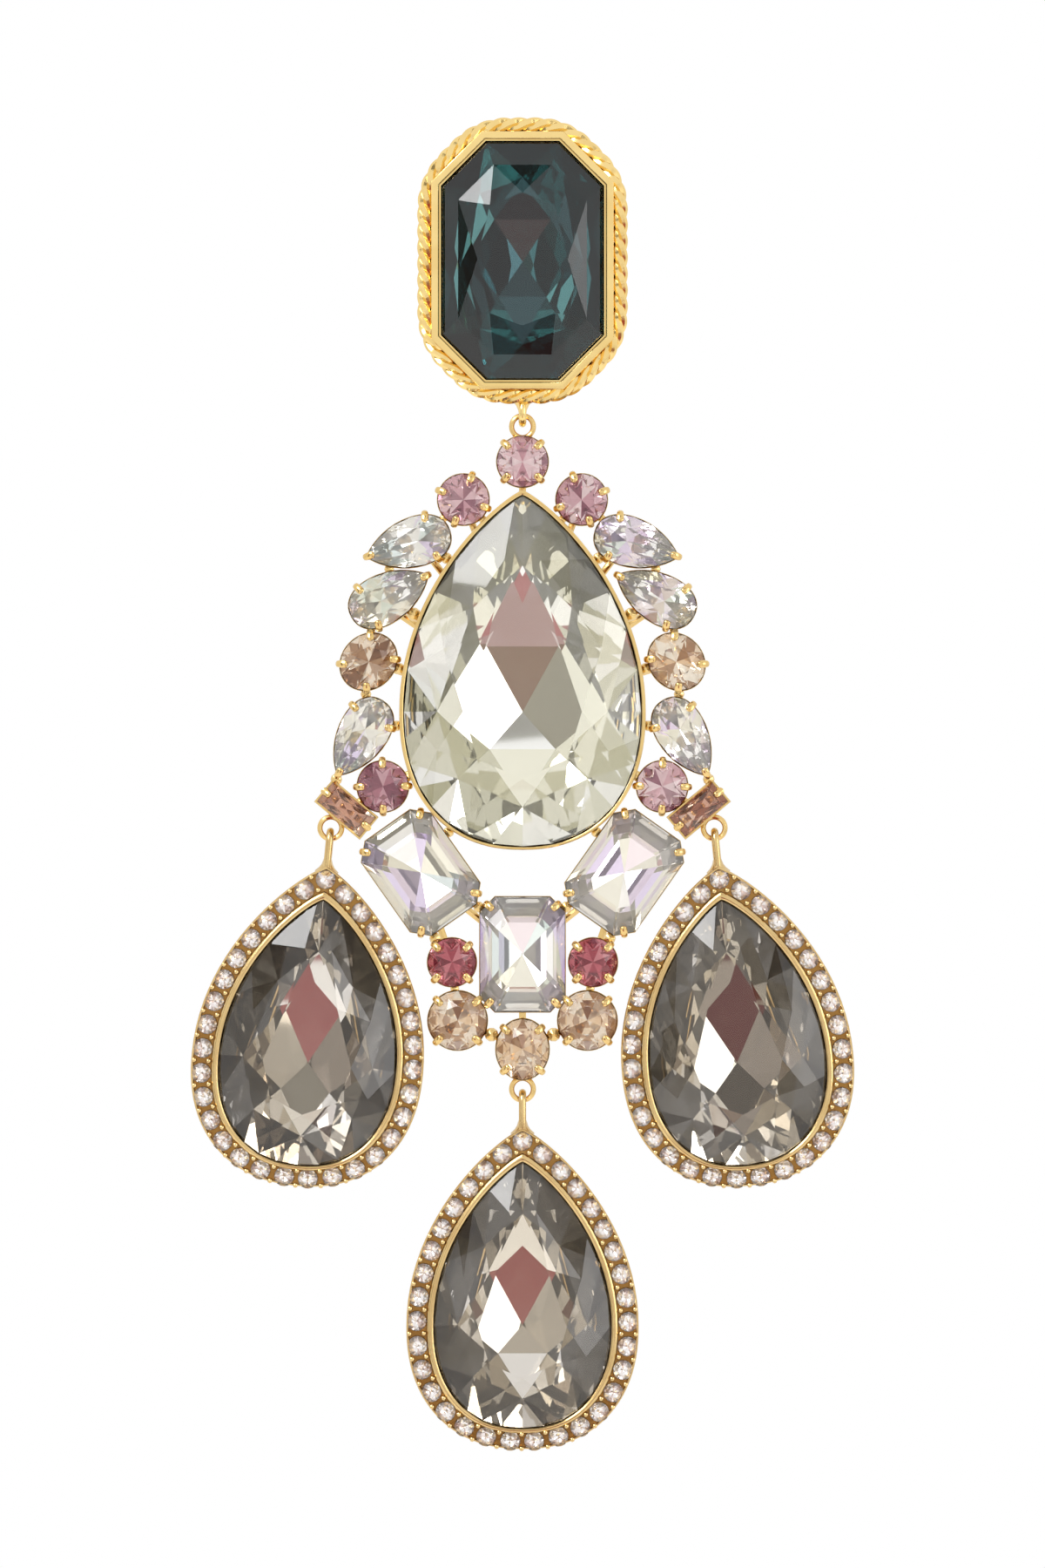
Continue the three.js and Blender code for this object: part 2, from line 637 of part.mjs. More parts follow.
// Solder bars: from cup to cup in the lower cluster, and from every cup beside the large bezel into it
const strutPairs = [
  ["low_chaton_right", "baguette_right"], ["side_octagon_right", "centre_octagon"],
  ["side_octagon_right", "red_right"], ["red_right", "champagne_right"],
  ["champagne_right", "champagne_centre"], ["centre_octagon", "champagne_centre"],
];
const strutDepth = cupDepth - girdleLine - strutWire / 2 - strutSink;
const strutFoot = 0.62;            // the bars end in the large collet's wall, as a share of its outline

function strut(from, to) {
  const ends = [from, to].map(({ x, z }) => new THREE.Vector3(x, strutDepth, z));
  return tube(ends, strutWire, 4, axisY, false);
}

function struts() {
  const find = (name) => allPlaces.find((place) => place.name === name);
  const pairs = strutPairs.map(([from, to]) => [find(from), find(to)]);
  const inward = [topChaton, ...sidePlaces].filter((place) => place.foot).map((place) =>
    [place, { x: place.foot.x * strutFoot, z: place.foot.z * strutFoot }]);
  const right = [...pairs, ...inward];
  const left = right.map((ends) => ends.map(({ x, z }) => ({ x: -x, z })))
    .filter((ends) => ends.some(({ x }) => x !== 0));
  return [...right, ...left].map(([from, to]) => strut(from, to));
}

function centreCollet() {
  const at = (y, share) => ring(centreEdge, 32, y, share);
  const front = -girdleLine - centreProud;
  const back = front + colletDepth;
  const wall = loft([
    at(front - centreLip, 1), at(front + colletDepth / 2, colletWaist), at(back, colletTaper),
  ]);
  return solid(wall).subtract(solid(openSpace(centreShape, bigCut, 8, 4).translate(0, front, 0)));
}

function centreFrame() {
  const at = (geometry, { x, z, lean }) => geometry.clone().applyMatrix4(placement(x, -girdleLine, z, lean));
  const metal = [...struts(), ...ringPlaces.map(linkRing)];
  const spaces = [];
  for (const place of allPlaces) {
    const kind = kinds[place.kind];
    metal.push(at(cup(kind), place), ...kind.claws.map((t) => at(claw(kind, t), place)));
    spaces.push(at(stoneSpace(kind), place));
  }
  return toGeometry(joined(metal).add(centreCollet()).subtract(joined(spaces)));
}

// Drops. Each hangs down from its own origin, the middle of the wire that its loop hangs on.
const dropShape = pear(dropLength, dropWidth);
const haloShape = dropShape.grown(haloRim);
const dropMiddle = -bailReach - haloShape.at(0)[1];

function bail() {
  const top = linkWire / 2 + linkGap + bailWire / 2;
  const foot = -bailReach - bailSink;
  const bend = (middle, from) => Array.from({ length: 5 }, (_, i) => {
    const turn = from + Math.PI * i / 4;
    return new THREE.Vector3(0, Math.cos(turn) * bailSpread, middle + Math.sin(turn) * bailSpread);
  });
  return tube([...bend(top - bailSpread, 0), ...bend(foot + bailSpread, Math.PI)], bailWire, 5, axisX, true);
}

function pavePlaces() {
  const path = dropShape.grown(haloBezel + (haloRim - haloBezel) / 2);
  const count = 720;
  const walked = [0];
  for (let i = 1; i <= count; i += 1) {
    const [a, b] = path.at((i - 1) / count);
    const [x, z] = path.at(i / count);
    walked.push(walked[i - 1] + Math.hypot(x - a, z - b));
  }
  const stones = Math.floor(walked[count] / pavePitch);
  return Array.from({ length: stones }, (_, k) =>
    path.at(walked.findIndex((length) => length >= walked[count] * k / stones) / count));
}

// A small brilliant on the halo's front face: square table, eight-sided girdle
const haloFace = -dropGirdle - girdle / 2;

function paveStone([x, z]) {
  const round = oval(paveSize, paveSize);
  const edge = ring(round, 8, haloFace);
  const table = ring(round, 4, haloFace - paveProud, paveTable, 0.5);
  const facets = [...capFacets(table, true), ...capFacets(edge, false)];
  for (let k = 0; k < 4; k += 1) {
    const next = (k + 1) % 4;
    const corner = 2 * k + 1;
    const after = (corner + 1) % 8;
    facets.push([table[k], edge[corner], edge[corner - 1]], [table[k], edge[after], edge[corner]]);
    facets.push([table[k], table[next], edge[after]]);
  }
  return facetBody(facets).translate(x, 0, z);
}

function dropSetting() {
  const at = (shape, y, share) => ring(shape, 28, y, share);
  const plate = loft([at(haloShape, haloFace, 1), at(haloShape, haloFace + haloPlate, plateTaper)]);
  const bezel = dropShape.grown(haloBezel);
  const collet = loft([
    at(bezel, haloFace - haloLip, cupShares[0]), at(bezel, -dropGirdle + haloBack * haloWaist, cupShares[1]),
    at(bezel, -dropGirdle + haloBack, cupShares[2]),
  ]);
  const around = [plate, collet, ...pavePlaces().map(paveStone)];
  const space = openSpace(dropShape, dropCut, 8, 4).translate(0, -dropGirdle, dropMiddle);
  const metal = joined([bail(), ...around.map((geometry) => geometry.translate(0, 0, dropMiddle))]);
  return toGeometry(metal.subtract(solid(space)));
}

// Stud
const studShape = octagon(studLength, studWidth, studCorner);
const studEdge = studShape.grown(studBezel);
const studFront = -studDepth;
const studGirdle = studFront + studSunk + girdle / 2;

function ropePath() {
  const line = studEdge.grown(ropeWire * ropeSeat).corners.map(([x, z]) => new THREE.Vector2(x, z));
  const path = new THREE.Path();
  line.forEach((corner, i) => {
    const before = line[(i + line.length - 1) % line.length];
    const after = line[(i + 1) % line.length];
    const start = corner.clone().lerp(before, Math.min(0.5, ropeBend / corner.distanceTo(before)));
    const end = corner.clone().lerp(after, Math.min(0.5, ropeBend / corner.distanceTo(after)));
    if (i === 0) path.moveTo(start.x, start.y);
    else path.lineTo(start.x, start.y);
    path.quadraticCurveTo(corner.x, corner.y, end.x, end.y);
  });
  path.closePath();
  return path;
}

function rope() {
  const path = ropePath();
  const strands = Math.round(path.getLength() / ropeStrand);
  const points = path.getSpacedPoints(strands * 2).slice(0, -1);
  const middle = studFront + ropeWire / 2;
  const sections = points.map((point, i) => {
    const before = points[(i - 1 + points.length) % points.length];
    const after = points[(i + 1) % points.length];
    const along = after.clone().sub(before).normalize();
    const thick = i % 2 === 0 ? 1 : ropeWaist;
    return Array.from({ length: 4 }, (_, k) => {
      const turn = 2 * Math.PI * k / 4;
      const out = Math.cos(turn) * thick * ropeWire / 2;
      const slide = -out * ropeTwist;
      return new THREE.Vector3(
        point.x - along.y * out + along.x * slide,
        middle - Math.sin(turn) * thick * ropeWire / 2,
        point.y + along.x * out + along.y * slide,
      );
    });
  });
  return facetBody(sections.flatMap((section, i) => band(section, sections[(i + 1) % sections.length])));
}

const studBottom = -studEdge.grown(ropeWire * ropeSeat * 2).length / 2;
const eyeLow = studBottom - eyeReach;
const hangLine = -studDepth * eyeDepth;

function studSetting() {
  const box = loft([
    cornerRing(studEdge, studFront), cornerRing(studEdge, -studChamfer),
    cornerRing(studEdge, 0, studBackShare),
  ]);
  const eyeMiddle = new THREE.Vector3(0, hangLine, eyeLow + eyeRadius);
  const eye = tube(circlePoints(eyeRadius, 12, axisY, axisZ, eyeMiddle), eyeWire, 6, axisX, true);
  const space = openSpace(studShape, studCut, 8, 2).translate(0, studGirdle, 0);
  return toGeometry(joined([box, rope(), eye]).subtract(solid(space)));
}

// One plain sprung clip: foot, arm and round pad
function clip() {
  const inner = clipGap + clipReach;
  const outline = new THREE.Shape();
  outline.moveTo(clipGap, -clipFoot - clipPlate * 2);
  outline.lineTo(inner, -clipFoot - clipPlate * 2);
  outline.quadraticCurveTo(inner + clipPlate, -clipFoot - clipPlate * 2, inner + clipPlate, -clipFoot);
  outline.lineTo(inner + clipPlate, 0);
  outline.lineTo(inner, 0);
  outline.lineTo(inner, -clipFoot);
  outline.lineTo(clipGap, -clipFoot);
  outline.closePath();
  const size = { depth: clipWidth, bevelEnabled: false, curveSegments: 4 };
  const arm = new THREE.ExtrudeGeometry(outline, size);
  arm.deleteAttribute("normal");
  arm.deleteAttribute("uv");
  arm.applyMatrix4(new THREE.Matrix4().makeBasis(axisY, axisZ, axisX)).translate(-clipWidth / 2, 0, 0);
  const pad = new THREE.CylinderGeometry(clipPad, clipPad, clipPadPlate, 16);
  pad.deleteAttribute("normal");
  pad.deleteAttribute("uv");
  pad.translate(0, inner + clipPlate - clipPadPlate / 2 + clipPadProud, 0);
  return toGeometry(solid(mergeVertices(arm, 1e-5)).add(solid(mergeVertices(pad, 1e-5))));
}

// Assembly
function piece(name, geometry, look) {
  geometry.computeVertexNormals();
  const material = new THREE.MeshStandardMaterial({ ...finish[look], flatShading: true });
  const mesh = new THREE.Mesh(geometry, material);
  mesh.name = name;
  return mesh;
}

function stud() {
  const group = new THREE.Group();
  group.position.z = -studLift;
  const stone = piece("stud_stone", brilliant(studShape, studCut, 8, 2), "teal");
  stone.position.y = studGirdle;
  const clasp = piece("ear_clip", clip(), "gold");
  clasp.position.z = studLift;
  group.add(piece("stud_setting", studSetting(), "gold"), stone, clasp);
  return group;
}

function centre() {
  const group = new THREE.Group();
  const stone = piece("centre_stone", brilliant(centreShape, bigCut, 8, 4), "clear");
  stone.position.y = -girdleLine - centreProud;
  group.add(piece("centre_frame", centreFrame(), "gold"), stone);
  for (const place of allPlaces) {
    const mesh = piece(place.name, cutStone(kinds[place.kind]), place.color);
    mesh.position.set(place.x, -girdleLine, place.z);
    mesh.rotation.y = radians(place.lean);
    group.add(mesh);
  }
  return group;
}

function drop(name, { x, z }, lean) {
  const group = new THREE.Group();
  const turn = radians(lean);
  group.position.set(x - Math.sin(turn) * linkRadius, 0, z - Math.cos(turn) * linkRadius);
  group.rotation.y = turn;
  const stone = piece(name + "_stone", brilliant(dropShape, dropCut, 8, 4), "smoke");
  stone.position.set(0, -dropGirdle, dropMiddle);
  group.add(piece(name + "_setting", dropSetting(), "gold"), stone);
  return group;
}

// The side drops lean out, clear of the lower cluster and the side octagons
function sideLean() {
  const haloAt = (lean) => {
    const away = -dropMiddle + linkRadius;
    const x = sideRing.x + Math.sin(radians(lean)) * away;
    return { shape: haloShape, lean: -lean, x, z: sideRing.z - Math.cos(radians(lean)) * away };
  };
  return closest(haloAt, widestLean, sideRoom, [champagnePlace, sidePlace("side_octagon")]).lean;
}

const earring = new THREE.Group();
const body = centre();
const lean = sideLean();
body.add(drop("drop_centre", lowRing, 0));
body.add(drop("drop_right", sideRing, lean));
body.add(drop("drop_left", { x: -sideRing.x, z: sideRing.z }, -lean));
const hangZ = -studLift + eyeLow + eyeWire / 2 + linkGap + linkWire / 2;
body.position.set(0, hangLine, hangZ - linkRadius - topRing.z);
earring.add(stud(), body);

export default earring;
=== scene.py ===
import json
import math

import bmesh
import bpy
from mathutils import Matrix, Vector


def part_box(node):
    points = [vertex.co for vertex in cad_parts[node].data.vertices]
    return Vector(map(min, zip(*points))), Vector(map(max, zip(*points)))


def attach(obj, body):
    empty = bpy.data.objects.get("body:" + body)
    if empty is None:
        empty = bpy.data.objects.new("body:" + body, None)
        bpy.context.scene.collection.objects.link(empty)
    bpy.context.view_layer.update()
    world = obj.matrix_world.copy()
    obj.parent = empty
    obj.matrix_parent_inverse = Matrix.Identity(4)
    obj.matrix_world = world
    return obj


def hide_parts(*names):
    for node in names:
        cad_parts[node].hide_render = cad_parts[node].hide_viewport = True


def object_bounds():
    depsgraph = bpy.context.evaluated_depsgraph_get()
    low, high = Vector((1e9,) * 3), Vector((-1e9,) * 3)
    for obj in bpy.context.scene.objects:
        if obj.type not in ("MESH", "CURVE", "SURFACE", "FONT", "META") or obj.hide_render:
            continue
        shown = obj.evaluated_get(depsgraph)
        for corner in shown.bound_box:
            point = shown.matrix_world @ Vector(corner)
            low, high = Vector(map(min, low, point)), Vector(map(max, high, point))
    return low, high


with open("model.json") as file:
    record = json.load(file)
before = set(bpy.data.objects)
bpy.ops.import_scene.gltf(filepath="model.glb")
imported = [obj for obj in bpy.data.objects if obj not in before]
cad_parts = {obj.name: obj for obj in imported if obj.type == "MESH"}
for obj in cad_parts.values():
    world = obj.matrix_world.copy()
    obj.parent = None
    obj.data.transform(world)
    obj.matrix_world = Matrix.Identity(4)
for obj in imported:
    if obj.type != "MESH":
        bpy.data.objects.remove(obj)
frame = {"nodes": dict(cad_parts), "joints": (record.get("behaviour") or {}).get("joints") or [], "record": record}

# All lengths below are millimetres; meshes are scaled to metres when they are made.
MM = 0.001
X, Y, Z = Vector((1, 0, 0)), Vector((0, 1, 0)), Vector((0, 0, 1))

cad_low, cad_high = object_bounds()

# Stud
STUD_CORNER = 5.0
STUD_GAP = 0.12            # stone to the metal round it
STUD_BEZEL = 1.25
STUD_STEP = 0.42           # inner step of the frame, from the stone
STUD_FRONT = -6.6          # front of the frame
INNER_STEP = 0.27          # depth of the step between frame and stone
ROPE_RADIUS = 0.9
ROPE_OUT = 0.72            # middle of the rope past the frame's edge
ROPE_BEND = 3.4            # rounding of the rope's corners
ROPE_STRANDS = 3
ROPE_TURN = 5.4            # length of one whole turn of a strand
ROPE_STEP = 0.26           # fineness of the path
STRAND_SHARE = 0.54        # a strand's radius as a share of the rope's

# Links
LINK_RADIUS = 1.24
LINK_WIRE = 0.31           # radius of the wire
EYE_RADIUS = 1.3
EYE_WIRE = 0.45
EYE_ABOVE = 0.42           # eye's middle above the point that the centre piece hangs on
BAIL_WIRE = 0.43
BAIL_HALF = 1.15           # half the loop's depth
BAIL_TOP = 0.86            # loop's highest and lowest wire, from the pivot
BAIL_FOOT = -4.05
SADDLE = [                 # solder between loop and halo: height, half width, half depth
    (-2.0, 0.34, 0.80), (-2.4, 0.50, 1.15), (-2.9, 0.66, 1.35), (-3.3, 0.92, 1.35), (-3.7, 1.35, 1.3),
    (-4.2, 1.25, 1.25),
]
EYE_STEM = [(0.1, 1.3), (-0.55, 1.1), (-1.0, 0.72), (-1.5, 0.5), (-2.0, 0.42)]  # height and radius

# Clip
CLIP_WALL = 0.9
CLIP_SLIM = 1.1            # the arm is this much narrower than the pad on each side
CLIP_ARM_IN = 0.68         # middle of the arm in front of the pad's back
CLIP_BEND = 1.2
CLIP_PAD = 3.6             # pad's middle below its top
PAD_RADIUS = 3.55
PAD_IN = 0.585             # middle of the pad in front of its back
PAD_ROWS = [(-0.55, 0.86), (-0.5, 0.95), (-0.3, 1.0), (0.3, 1.0), (0.5, 0.95), (0.55, 0.86)]

# Centre piece
OCTAGON_CORNER = 1.7
CUP_DEPTH = 4.3
CUP_LIP = 0.06             # a cup's front edge past its stone
OBLONG_LIP = 0.22
CLAW_TIP = 0.62            # how far a claw reaches in over the crown
OBLONG_TIP = 0.5
OBLONG_LOW = 0.35          # an oblong's claws stay this much lower over its flatter crown
STRUT_RADIUS = 0.42
STRUT_BACK = 3.8           # bars lie this far behind the small girdles
STRUT_FOOT = 0.62          # and end this share of the way from the large stone's middle to its edge
SOLDER_BACK = 0.75         # beads of solder sit this far behind the girdles
SOLDER_RADIUS = 0.42
SOLDER_MOST = 0.8
BEZEL_OUT = 0.57           # outer edge of the large bezel past its stone
BEZEL_LIP = 0.55
COLLET_BACK = 5.75         # girdle to the back of the large collet

# Drops
HALO_RIM = 3.17
GIRDLE_AT = -1.3           # girdle in front of the plane that the drops hang in
PAVE_COUNT = 33
PAVE_RADIUS = 1.12
PAVE_FACE = -1.45          # girdle of the pavé stones
PAVE_TABLE = 0.54          # table and star corners, as shares of the radius
PAVE_STAR = 0.80
PAVE_CROWN = 0.46          # heights above and below their girdle
PAVE_SHOULDER = 0.28
PAVE_CULET = 0.68
PAVE_TURN = 0.7            # each is turned this much more than the last
BEAD_RADIUS = 0.29
BEAD_OUT = 0.82            # beads stand this far to either side of the stones' middle line
BEAD_PROUD = 0.22
BEAD_LEVELS = 5
POST_SHARE = 0.8           # a bead's post as a share of its radius
CHANNEL_MIDDLE = 2.01      # middle line of the halo's stones, past the large stone's edge
CHANNEL_FLOOR = 0.6        # floor of the halo's channel behind the girdle

# Shape of a pear outline
PEAR_WIDE = 0.616
PEAR_TIP = 0.83
PEAR_FOOT = 2.25

# Looks. Noise scales are per metre.
GOLD_PATCHES = 350.0
GOLD_MARKS = 2600.0
MARK_DEPTH = 0.03
GLASS_ROUGHNESS = 0.015
GLASS_IOR = 1.58
FOIL_FACING = 0.05         # facets whose outward normal leans back more than this carry foil
FACET_SNAP = 0.013         # normals closer than this count as one facet

# Studio, in metres
FLOOR_HALF = 2.4
FLOOR_BELOW = 0.30
CAMERA_DISTANCE = 0.95
FRAME_SHARE = 1.17         # height in the picture over the part's height
SENSOR = 36.0              # camera's sensor height, millimetres


# Outlines: at(t) goes clockwise from the top about the middle of the cut
def pear(length, width):
    def at(t):
        up = math.cos(2 * math.pi * t)
        if up >= 0:
            half = max(0.0, 1 - up * up) ** PEAR_TIP
            reach = length * PEAR_WIDE
        else:
            half = max(0.0, 1 - (-up) ** PEAR_FOOT) ** (1 / PEAR_FOOT)
            reach = length * (1 - PEAR_WIDE)
        return math.copysign(half * width / 2, math.sin(2 * math.pi * t)), up * reach
    return at


def oval(length, width):
    def at(t):
        return math.sin(2 * math.pi * t) * width / 2, math.cos(2 * math.pi * t) * length / 2
    return at


def corners_of(length, width, corner):
    x, z = width / 2, length / 2
    if not corner:
        return [(x, z), (x, -z), (-x, -z), (-x, z)]
    return [
        (x - corner, z), (x, z - corner), (x, corner - z), (x - corner, -z),
        (corner - x, -z), (-x, corner - z), (-x, z - corner), (corner - x, z),
    ]


def along_corners(corners):
    """at(t) along straight edges, starting in the middle of the top edge."""
    count = len(corners)

    def at(t):
        place = (t * count - 0.5) % count
        start, share = int(place), place - int(place)
        (x0, z0), (x1, z1) = corners[start % count], corners[(start + 1) % count]
        return x0 + (x1 - x0) * share, z0 + (z1 - z0) * share
    return at


def grown_corners(stone, by):
    corner = stone["corner"] + by * (2 - math.sqrt(2)) if stone["corner"] else 0
    return corners_of(stone["length"] + 2 * by, stone["width"] + 2 * by, corner)


def grown(stone, by):
    """The stone's outline, larger by that much all round."""
    length, width = stone["length"] + 2 * by, stone["width"] + 2 * by
    if stone["form"] == "pear":
        return pear(length, width)
    if stone["form"] in ("oval", "round"):
        return oval(length, width)
    return along_corners(grown_corners(stone, by))


# The small stones' forms, and how far their claws are turned against the upright
FORMS = {
    "chaton_top": ("round", 0), "chaton": ("round", 25), "low_chaton": ("round", 46),
    "red": ("round", 0), "champagne": ("round", 0), "champagne_centre": ("oval", 0),
    "upper_pear": ("pear", 0), "lower_pear": ("pear", 0), "side_pear": ("pear", 0), "oval": ("oval", 0),
    "baguette": ("oblong", 0), "side_octagon": ("octagon", 0), "centre_octagon": ("octagon", 0),
}
CLAWS = {
    "round": [0.125, 0.375, 0.625, 0.875], "oval": [0.125, 0.375, 0.625, 0.875],
    "pear": [0, 0.32, 0.68], "octagon": [0.125, 0.375, 0.625, 0.875], "oblong": [0, 0.5],
}


def measured(node, form, turn=0.0):
    """A stone's middle, lean, length, width and girdle, read from its node."""
    points = {tuple(round(c / MM, 3) for c in v.co) for v in frame["nodes"][node].data.vertices}
    points = [Vector(p) for p in points]
    culet = max(points, key=lambda p: p.y)
    reach = {tuple(p): math.hypot(p.x - culet.x, p.z - culet.z) for p in points}
    widest = max(reach.values())
    girdle_levels = [p.y for p in points if reach[tuple(p)] > widest - 0.02]
    front, back = min(girdle_levels), max(girdle_levels)
    edge = [p for p in points if abs(p.y - front) < 0.02]
    edge.sort(key=lambda p: math.atan2(p.x - culet.x, p.z - culet.z))
    if form in ("octagon", "oblong"):
        sides = [b - a for a, b in zip(edge, edge[1:] + edge[:1])]
        far = max(sides, key=lambda s: s.length)
        far = far if far.z > 0 else -far
    elif form == "round":
        side = -1 if node.endswith("_left") else 1
        far = Vector((math.sin(math.radians(turn) * side), 0, math.cos(math.radians(turn))))
    else:
        far = max(edge, key=lambda p: reach[tuple(p)] + 1e-4 * p.z) - culet
    lean = math.atan2(far.x, far.z)
    ups = [(p.x - culet.x) * math.sin(lean) + (p.z - culet.z) * math.cos(lean) for p in edge]
    acrosses = [(p.x - culet.x) * math.cos(lean) - (p.z - culet.z) * math.sin(lean) for p in edge]
    return {
        "form": form, "x": culet.x, "z": culet.z, "lean": lean, "girdle": (front + back) / 2,
        "length": max(ups) - min(ups), "width": max(acrosses) - min(acrosses),
        "corner": OCTAGON_CORNER if form == "octagon" else 0,
    }


def placed(stone, across, y, up):
    """A point given in the stone's own directions, y counted from its girdle."""
    cos, sin = math.cos(stone["lean"]), math.sin(stone["lean"])
    x, z = across * cos + up * sin, up * cos - across * sin
    return Vector((stone["x"] + x, stone["girdle"] + y, stone["z"] + z))


class Shape:
    """Points and faces of one piece, in millimetres."""

    def __init__(self):
        self.points, self.faces = [], []

    def loft(self, rings, closed=False):
        """A skin over rings of points. Without closed, its first and last rings are capped."""
        start, count, around = len(self.points), len(rings), len(rings[0])
        for points in rings:
            self.points.extend(points)
        for i in range(count if closed else count - 1):
            low, high = start + i * around, start + (i + 1) % count * around
            for j in range(around):
                k = (j + 1) % around
                self.faces.append((low + j, low + k, high + k, high + j))
        if not closed:
            self.faces.append(tuple(range(start, start + around)))
            self.faces.append(tuple(range(start + (count - 1) * around, start + count * around)))

    def tube(self, path, side, radii, sides=12, closed=False, round_ends=False):
        """A round or flattened wire. radii gives (across, along side) for each point of the path."""
        if round_ends:
            path, radii = with_round_ends(path, radii)
        rings, count = [], len(path)
        for i, point in enumerate(path):
            before = path[(i - 1) % count] if closed else path[max(0, i - 1)]
            after = path[(i + 1) % count] if closed else path[min(count - 1, i + 1)]
            out = (after - before).normalized().cross(side).normalized()
            up = out.cross((after - before).normalized())
            wide, thick = radii[i]
            turns = [2 * math.pi * (k + 0.5) / sides for k in range(sides)]
            rings.append([point + out * math.cos(a) * wide + up * math.sin(a) * thick for a in turns])
        self.loft(rings, closed)

    def bead(self, middle, radius, sides=10):
        """A small ball."""
        levels = [math.pi * (i + 0.35) / (BEAD_LEVELS - 0.3) for i in range(BEAD_LEVELS)]
        turns = [2 * math.pi * k / sides for k in range(sides)]
        rings = []
        for a in levels:
            wide, y = math.sin(a), -math.cos(a)
            ways = [Vector((wide * math.cos(t), y, wide * math.sin(t))) for t in turns]
            rings.append([middle + way * radius for way in ways])
        self.loft(rings)

    def add(self, other, matrix=Matrix.Identity(4)):
        start = len(self.points)
        self.points.extend(matrix @ p for p in other.points)
        self.faces.extend(tuple(start + i for i in face) for face in other.faces)

    def build(self, name, material, sharp=math.radians(32)):
        """A mesh object of this shape; faces that meet at more than sharp keep their edge."""
        mesh = bpy.data.meshes.new(name)
        mesh.from_pydata([p * MM for p in self.points], [], self.faces)
        shape = bmesh.new()
        shape.from_mesh(mesh)
        bmesh.ops.recalc_face_normals(shape, faces=shape.faces)
        shape.to_mesh(mesh)
        shape.free()
        mesh.polygons.foreach_set("use_smooth", [True] * len(mesh.polygons))
        mesh.set_sharp_from_angle(angle=sharp)
        mesh.materials.append(material)
        piece = bpy.data.objects.new(name, mesh)
        bpy.context.scene.collection.objects.link(piece)
        return piece


def with_round_ends(path, radii):
    """The same path with a dome at each end."""
    domes = [(0.0, 1.0), (0.5, 0.86), (0.85, 0.53), (1.0, 0.12)]
    for end in (0, -1):
        inner = path[1] if end == 0 else path[-2]
        wide, thick = radii[end]
        ahead = (path[end] - inner).normalized() * min(wide, thick)
        extra = [(path[end] + ahead * far, (wide * share, thick * share)) for far, share in domes[1:]]
        if end == 0:
            path = [p for p, _ in reversed(extra)] + path
            radii = [r for _, r in reversed(extra)] + radii
        else:
            path = path + [p for p, _ in extra]
            radii = radii + [r for _, r in extra]
    return path, radii


def circle(middle, radius, across, up, count=32):
    turns = [2 * math.pi * i / count for i in range(count)]
    return [middle + across * math.sin(a) * radius + up * math.cos(a) * radius for a in turns]


def outline_rings(stone, count, rows):
    """Rings round a stone. A row is how far past the outline, y from the girdle, and share of the size."""
    rings = []
    for by, y, share in rows:
        if stone["form"] in ("octagon", "oblong"):
            outline = grown_corners(stone, by)
        else:
            at = grown(stone, by)
            outline = [at(i / count) for i in range(count)]
        rings.append([placed(stone, x * share, y, z * share) for x, z in outline])
    return rings


# Materials
def principled(name, **sockets):
    """A new material whose Principled shader has these constant values."""
    material = bpy.data.materials.new(name)
    material.use_nodes = True
    shader = material.node_tree.nodes["Principled BSDF"]
    for socket, value in sockets.items():
        shader.inputs[socket.replace("_", " ")].default_value = value
    return material, material.node_tree, shader


def node(tree, kind, **settings):
    made = tree.nodes.new("ShaderNode" + kind)
    for key, value in settings.items():
        if key.startswith("in_"):
            made.inputs[int(key[3:])].default_value = value
        else:
            setattr(made, key, value)
    return made


def ramp(tree, source, stops, mode="LINEAR"):
    made = node(tree, "ValToRGB")
    made.color_ramp.interpolation = mode
    while len(made.color_ramp.elements) < len(stops):
        made.color_ramp.elements.new(1.0)
    for element, (place, colour) in zip(made.color_ramp.elements, stops):
        element.position = place
        element.color = (*colour, 1)
    tree.links.new(source, made.inputs[0])
    return made.outputs[0]


def gold(name, bright, deep, roughness, casting=0.25):
    """Polished cast gold: slow colour changes, painted shade darkening the hollows, fine casting marks."""
    material, tree, shader = principled(name, Metallic=1.0)
    place = node(tree, "TexCoord").outputs["Object"]
    slow = node(tree, "TexNoise", in_2=GOLD_PATCHES, in_3=3.0)
    fine = node(tree, "TexNoise", in_2=GOLD_MARKS, in_3=4.0)
    for noise in (slow, fine):
        tree.links.new(place, noise.inputs[0])
    tone = ramp(tree, slow.outputs[0], [(0.35, deep), (0.62, bright)])
    # Painted shade: where pointiness is low, in hollows and between the rope's strands, the colour is darkened to
    # stand in for the shade that falls there.
    painted_hollow_shade = ramp(tree, node(tree, "NewGeometry").outputs["Pointiness"],
                  [(0.42, (0.50, 0.36, 0.22)), (0.49, (1, 1, 1))])
    mix = node(tree, "Mix", data_type="RGBA", blend_type="MULTIPLY")
    mix.inputs[0].default_value = 1.0
    tree.links.new(tone, mix.inputs[6])
    tree.links.new(painted_hollow_shade, mix.inputs[7])
    tree.links.new(mix.outputs[2], shader.inputs["Base Color"])
    spread = node(tree, "MapRange", in_3=roughness * 0.7, in_4=roughness * 1.4)
    tree.links.new(fine.outputs[0], spread.inputs[0])
    tree.links.new(spread.outputs[0], shader.inputs["Roughness"])
    bump = node(tree, "Bump")
    bump.inputs["Strength"].default_value = casting
    bump.inputs["Distance"].default_value = MARK_DEPTH * MM
    tree.links.new(fine.outputs[0], bump.inputs["Height"])
    tree.links.new(bump.outputs[0], shader.inputs["Normal"])
    return material


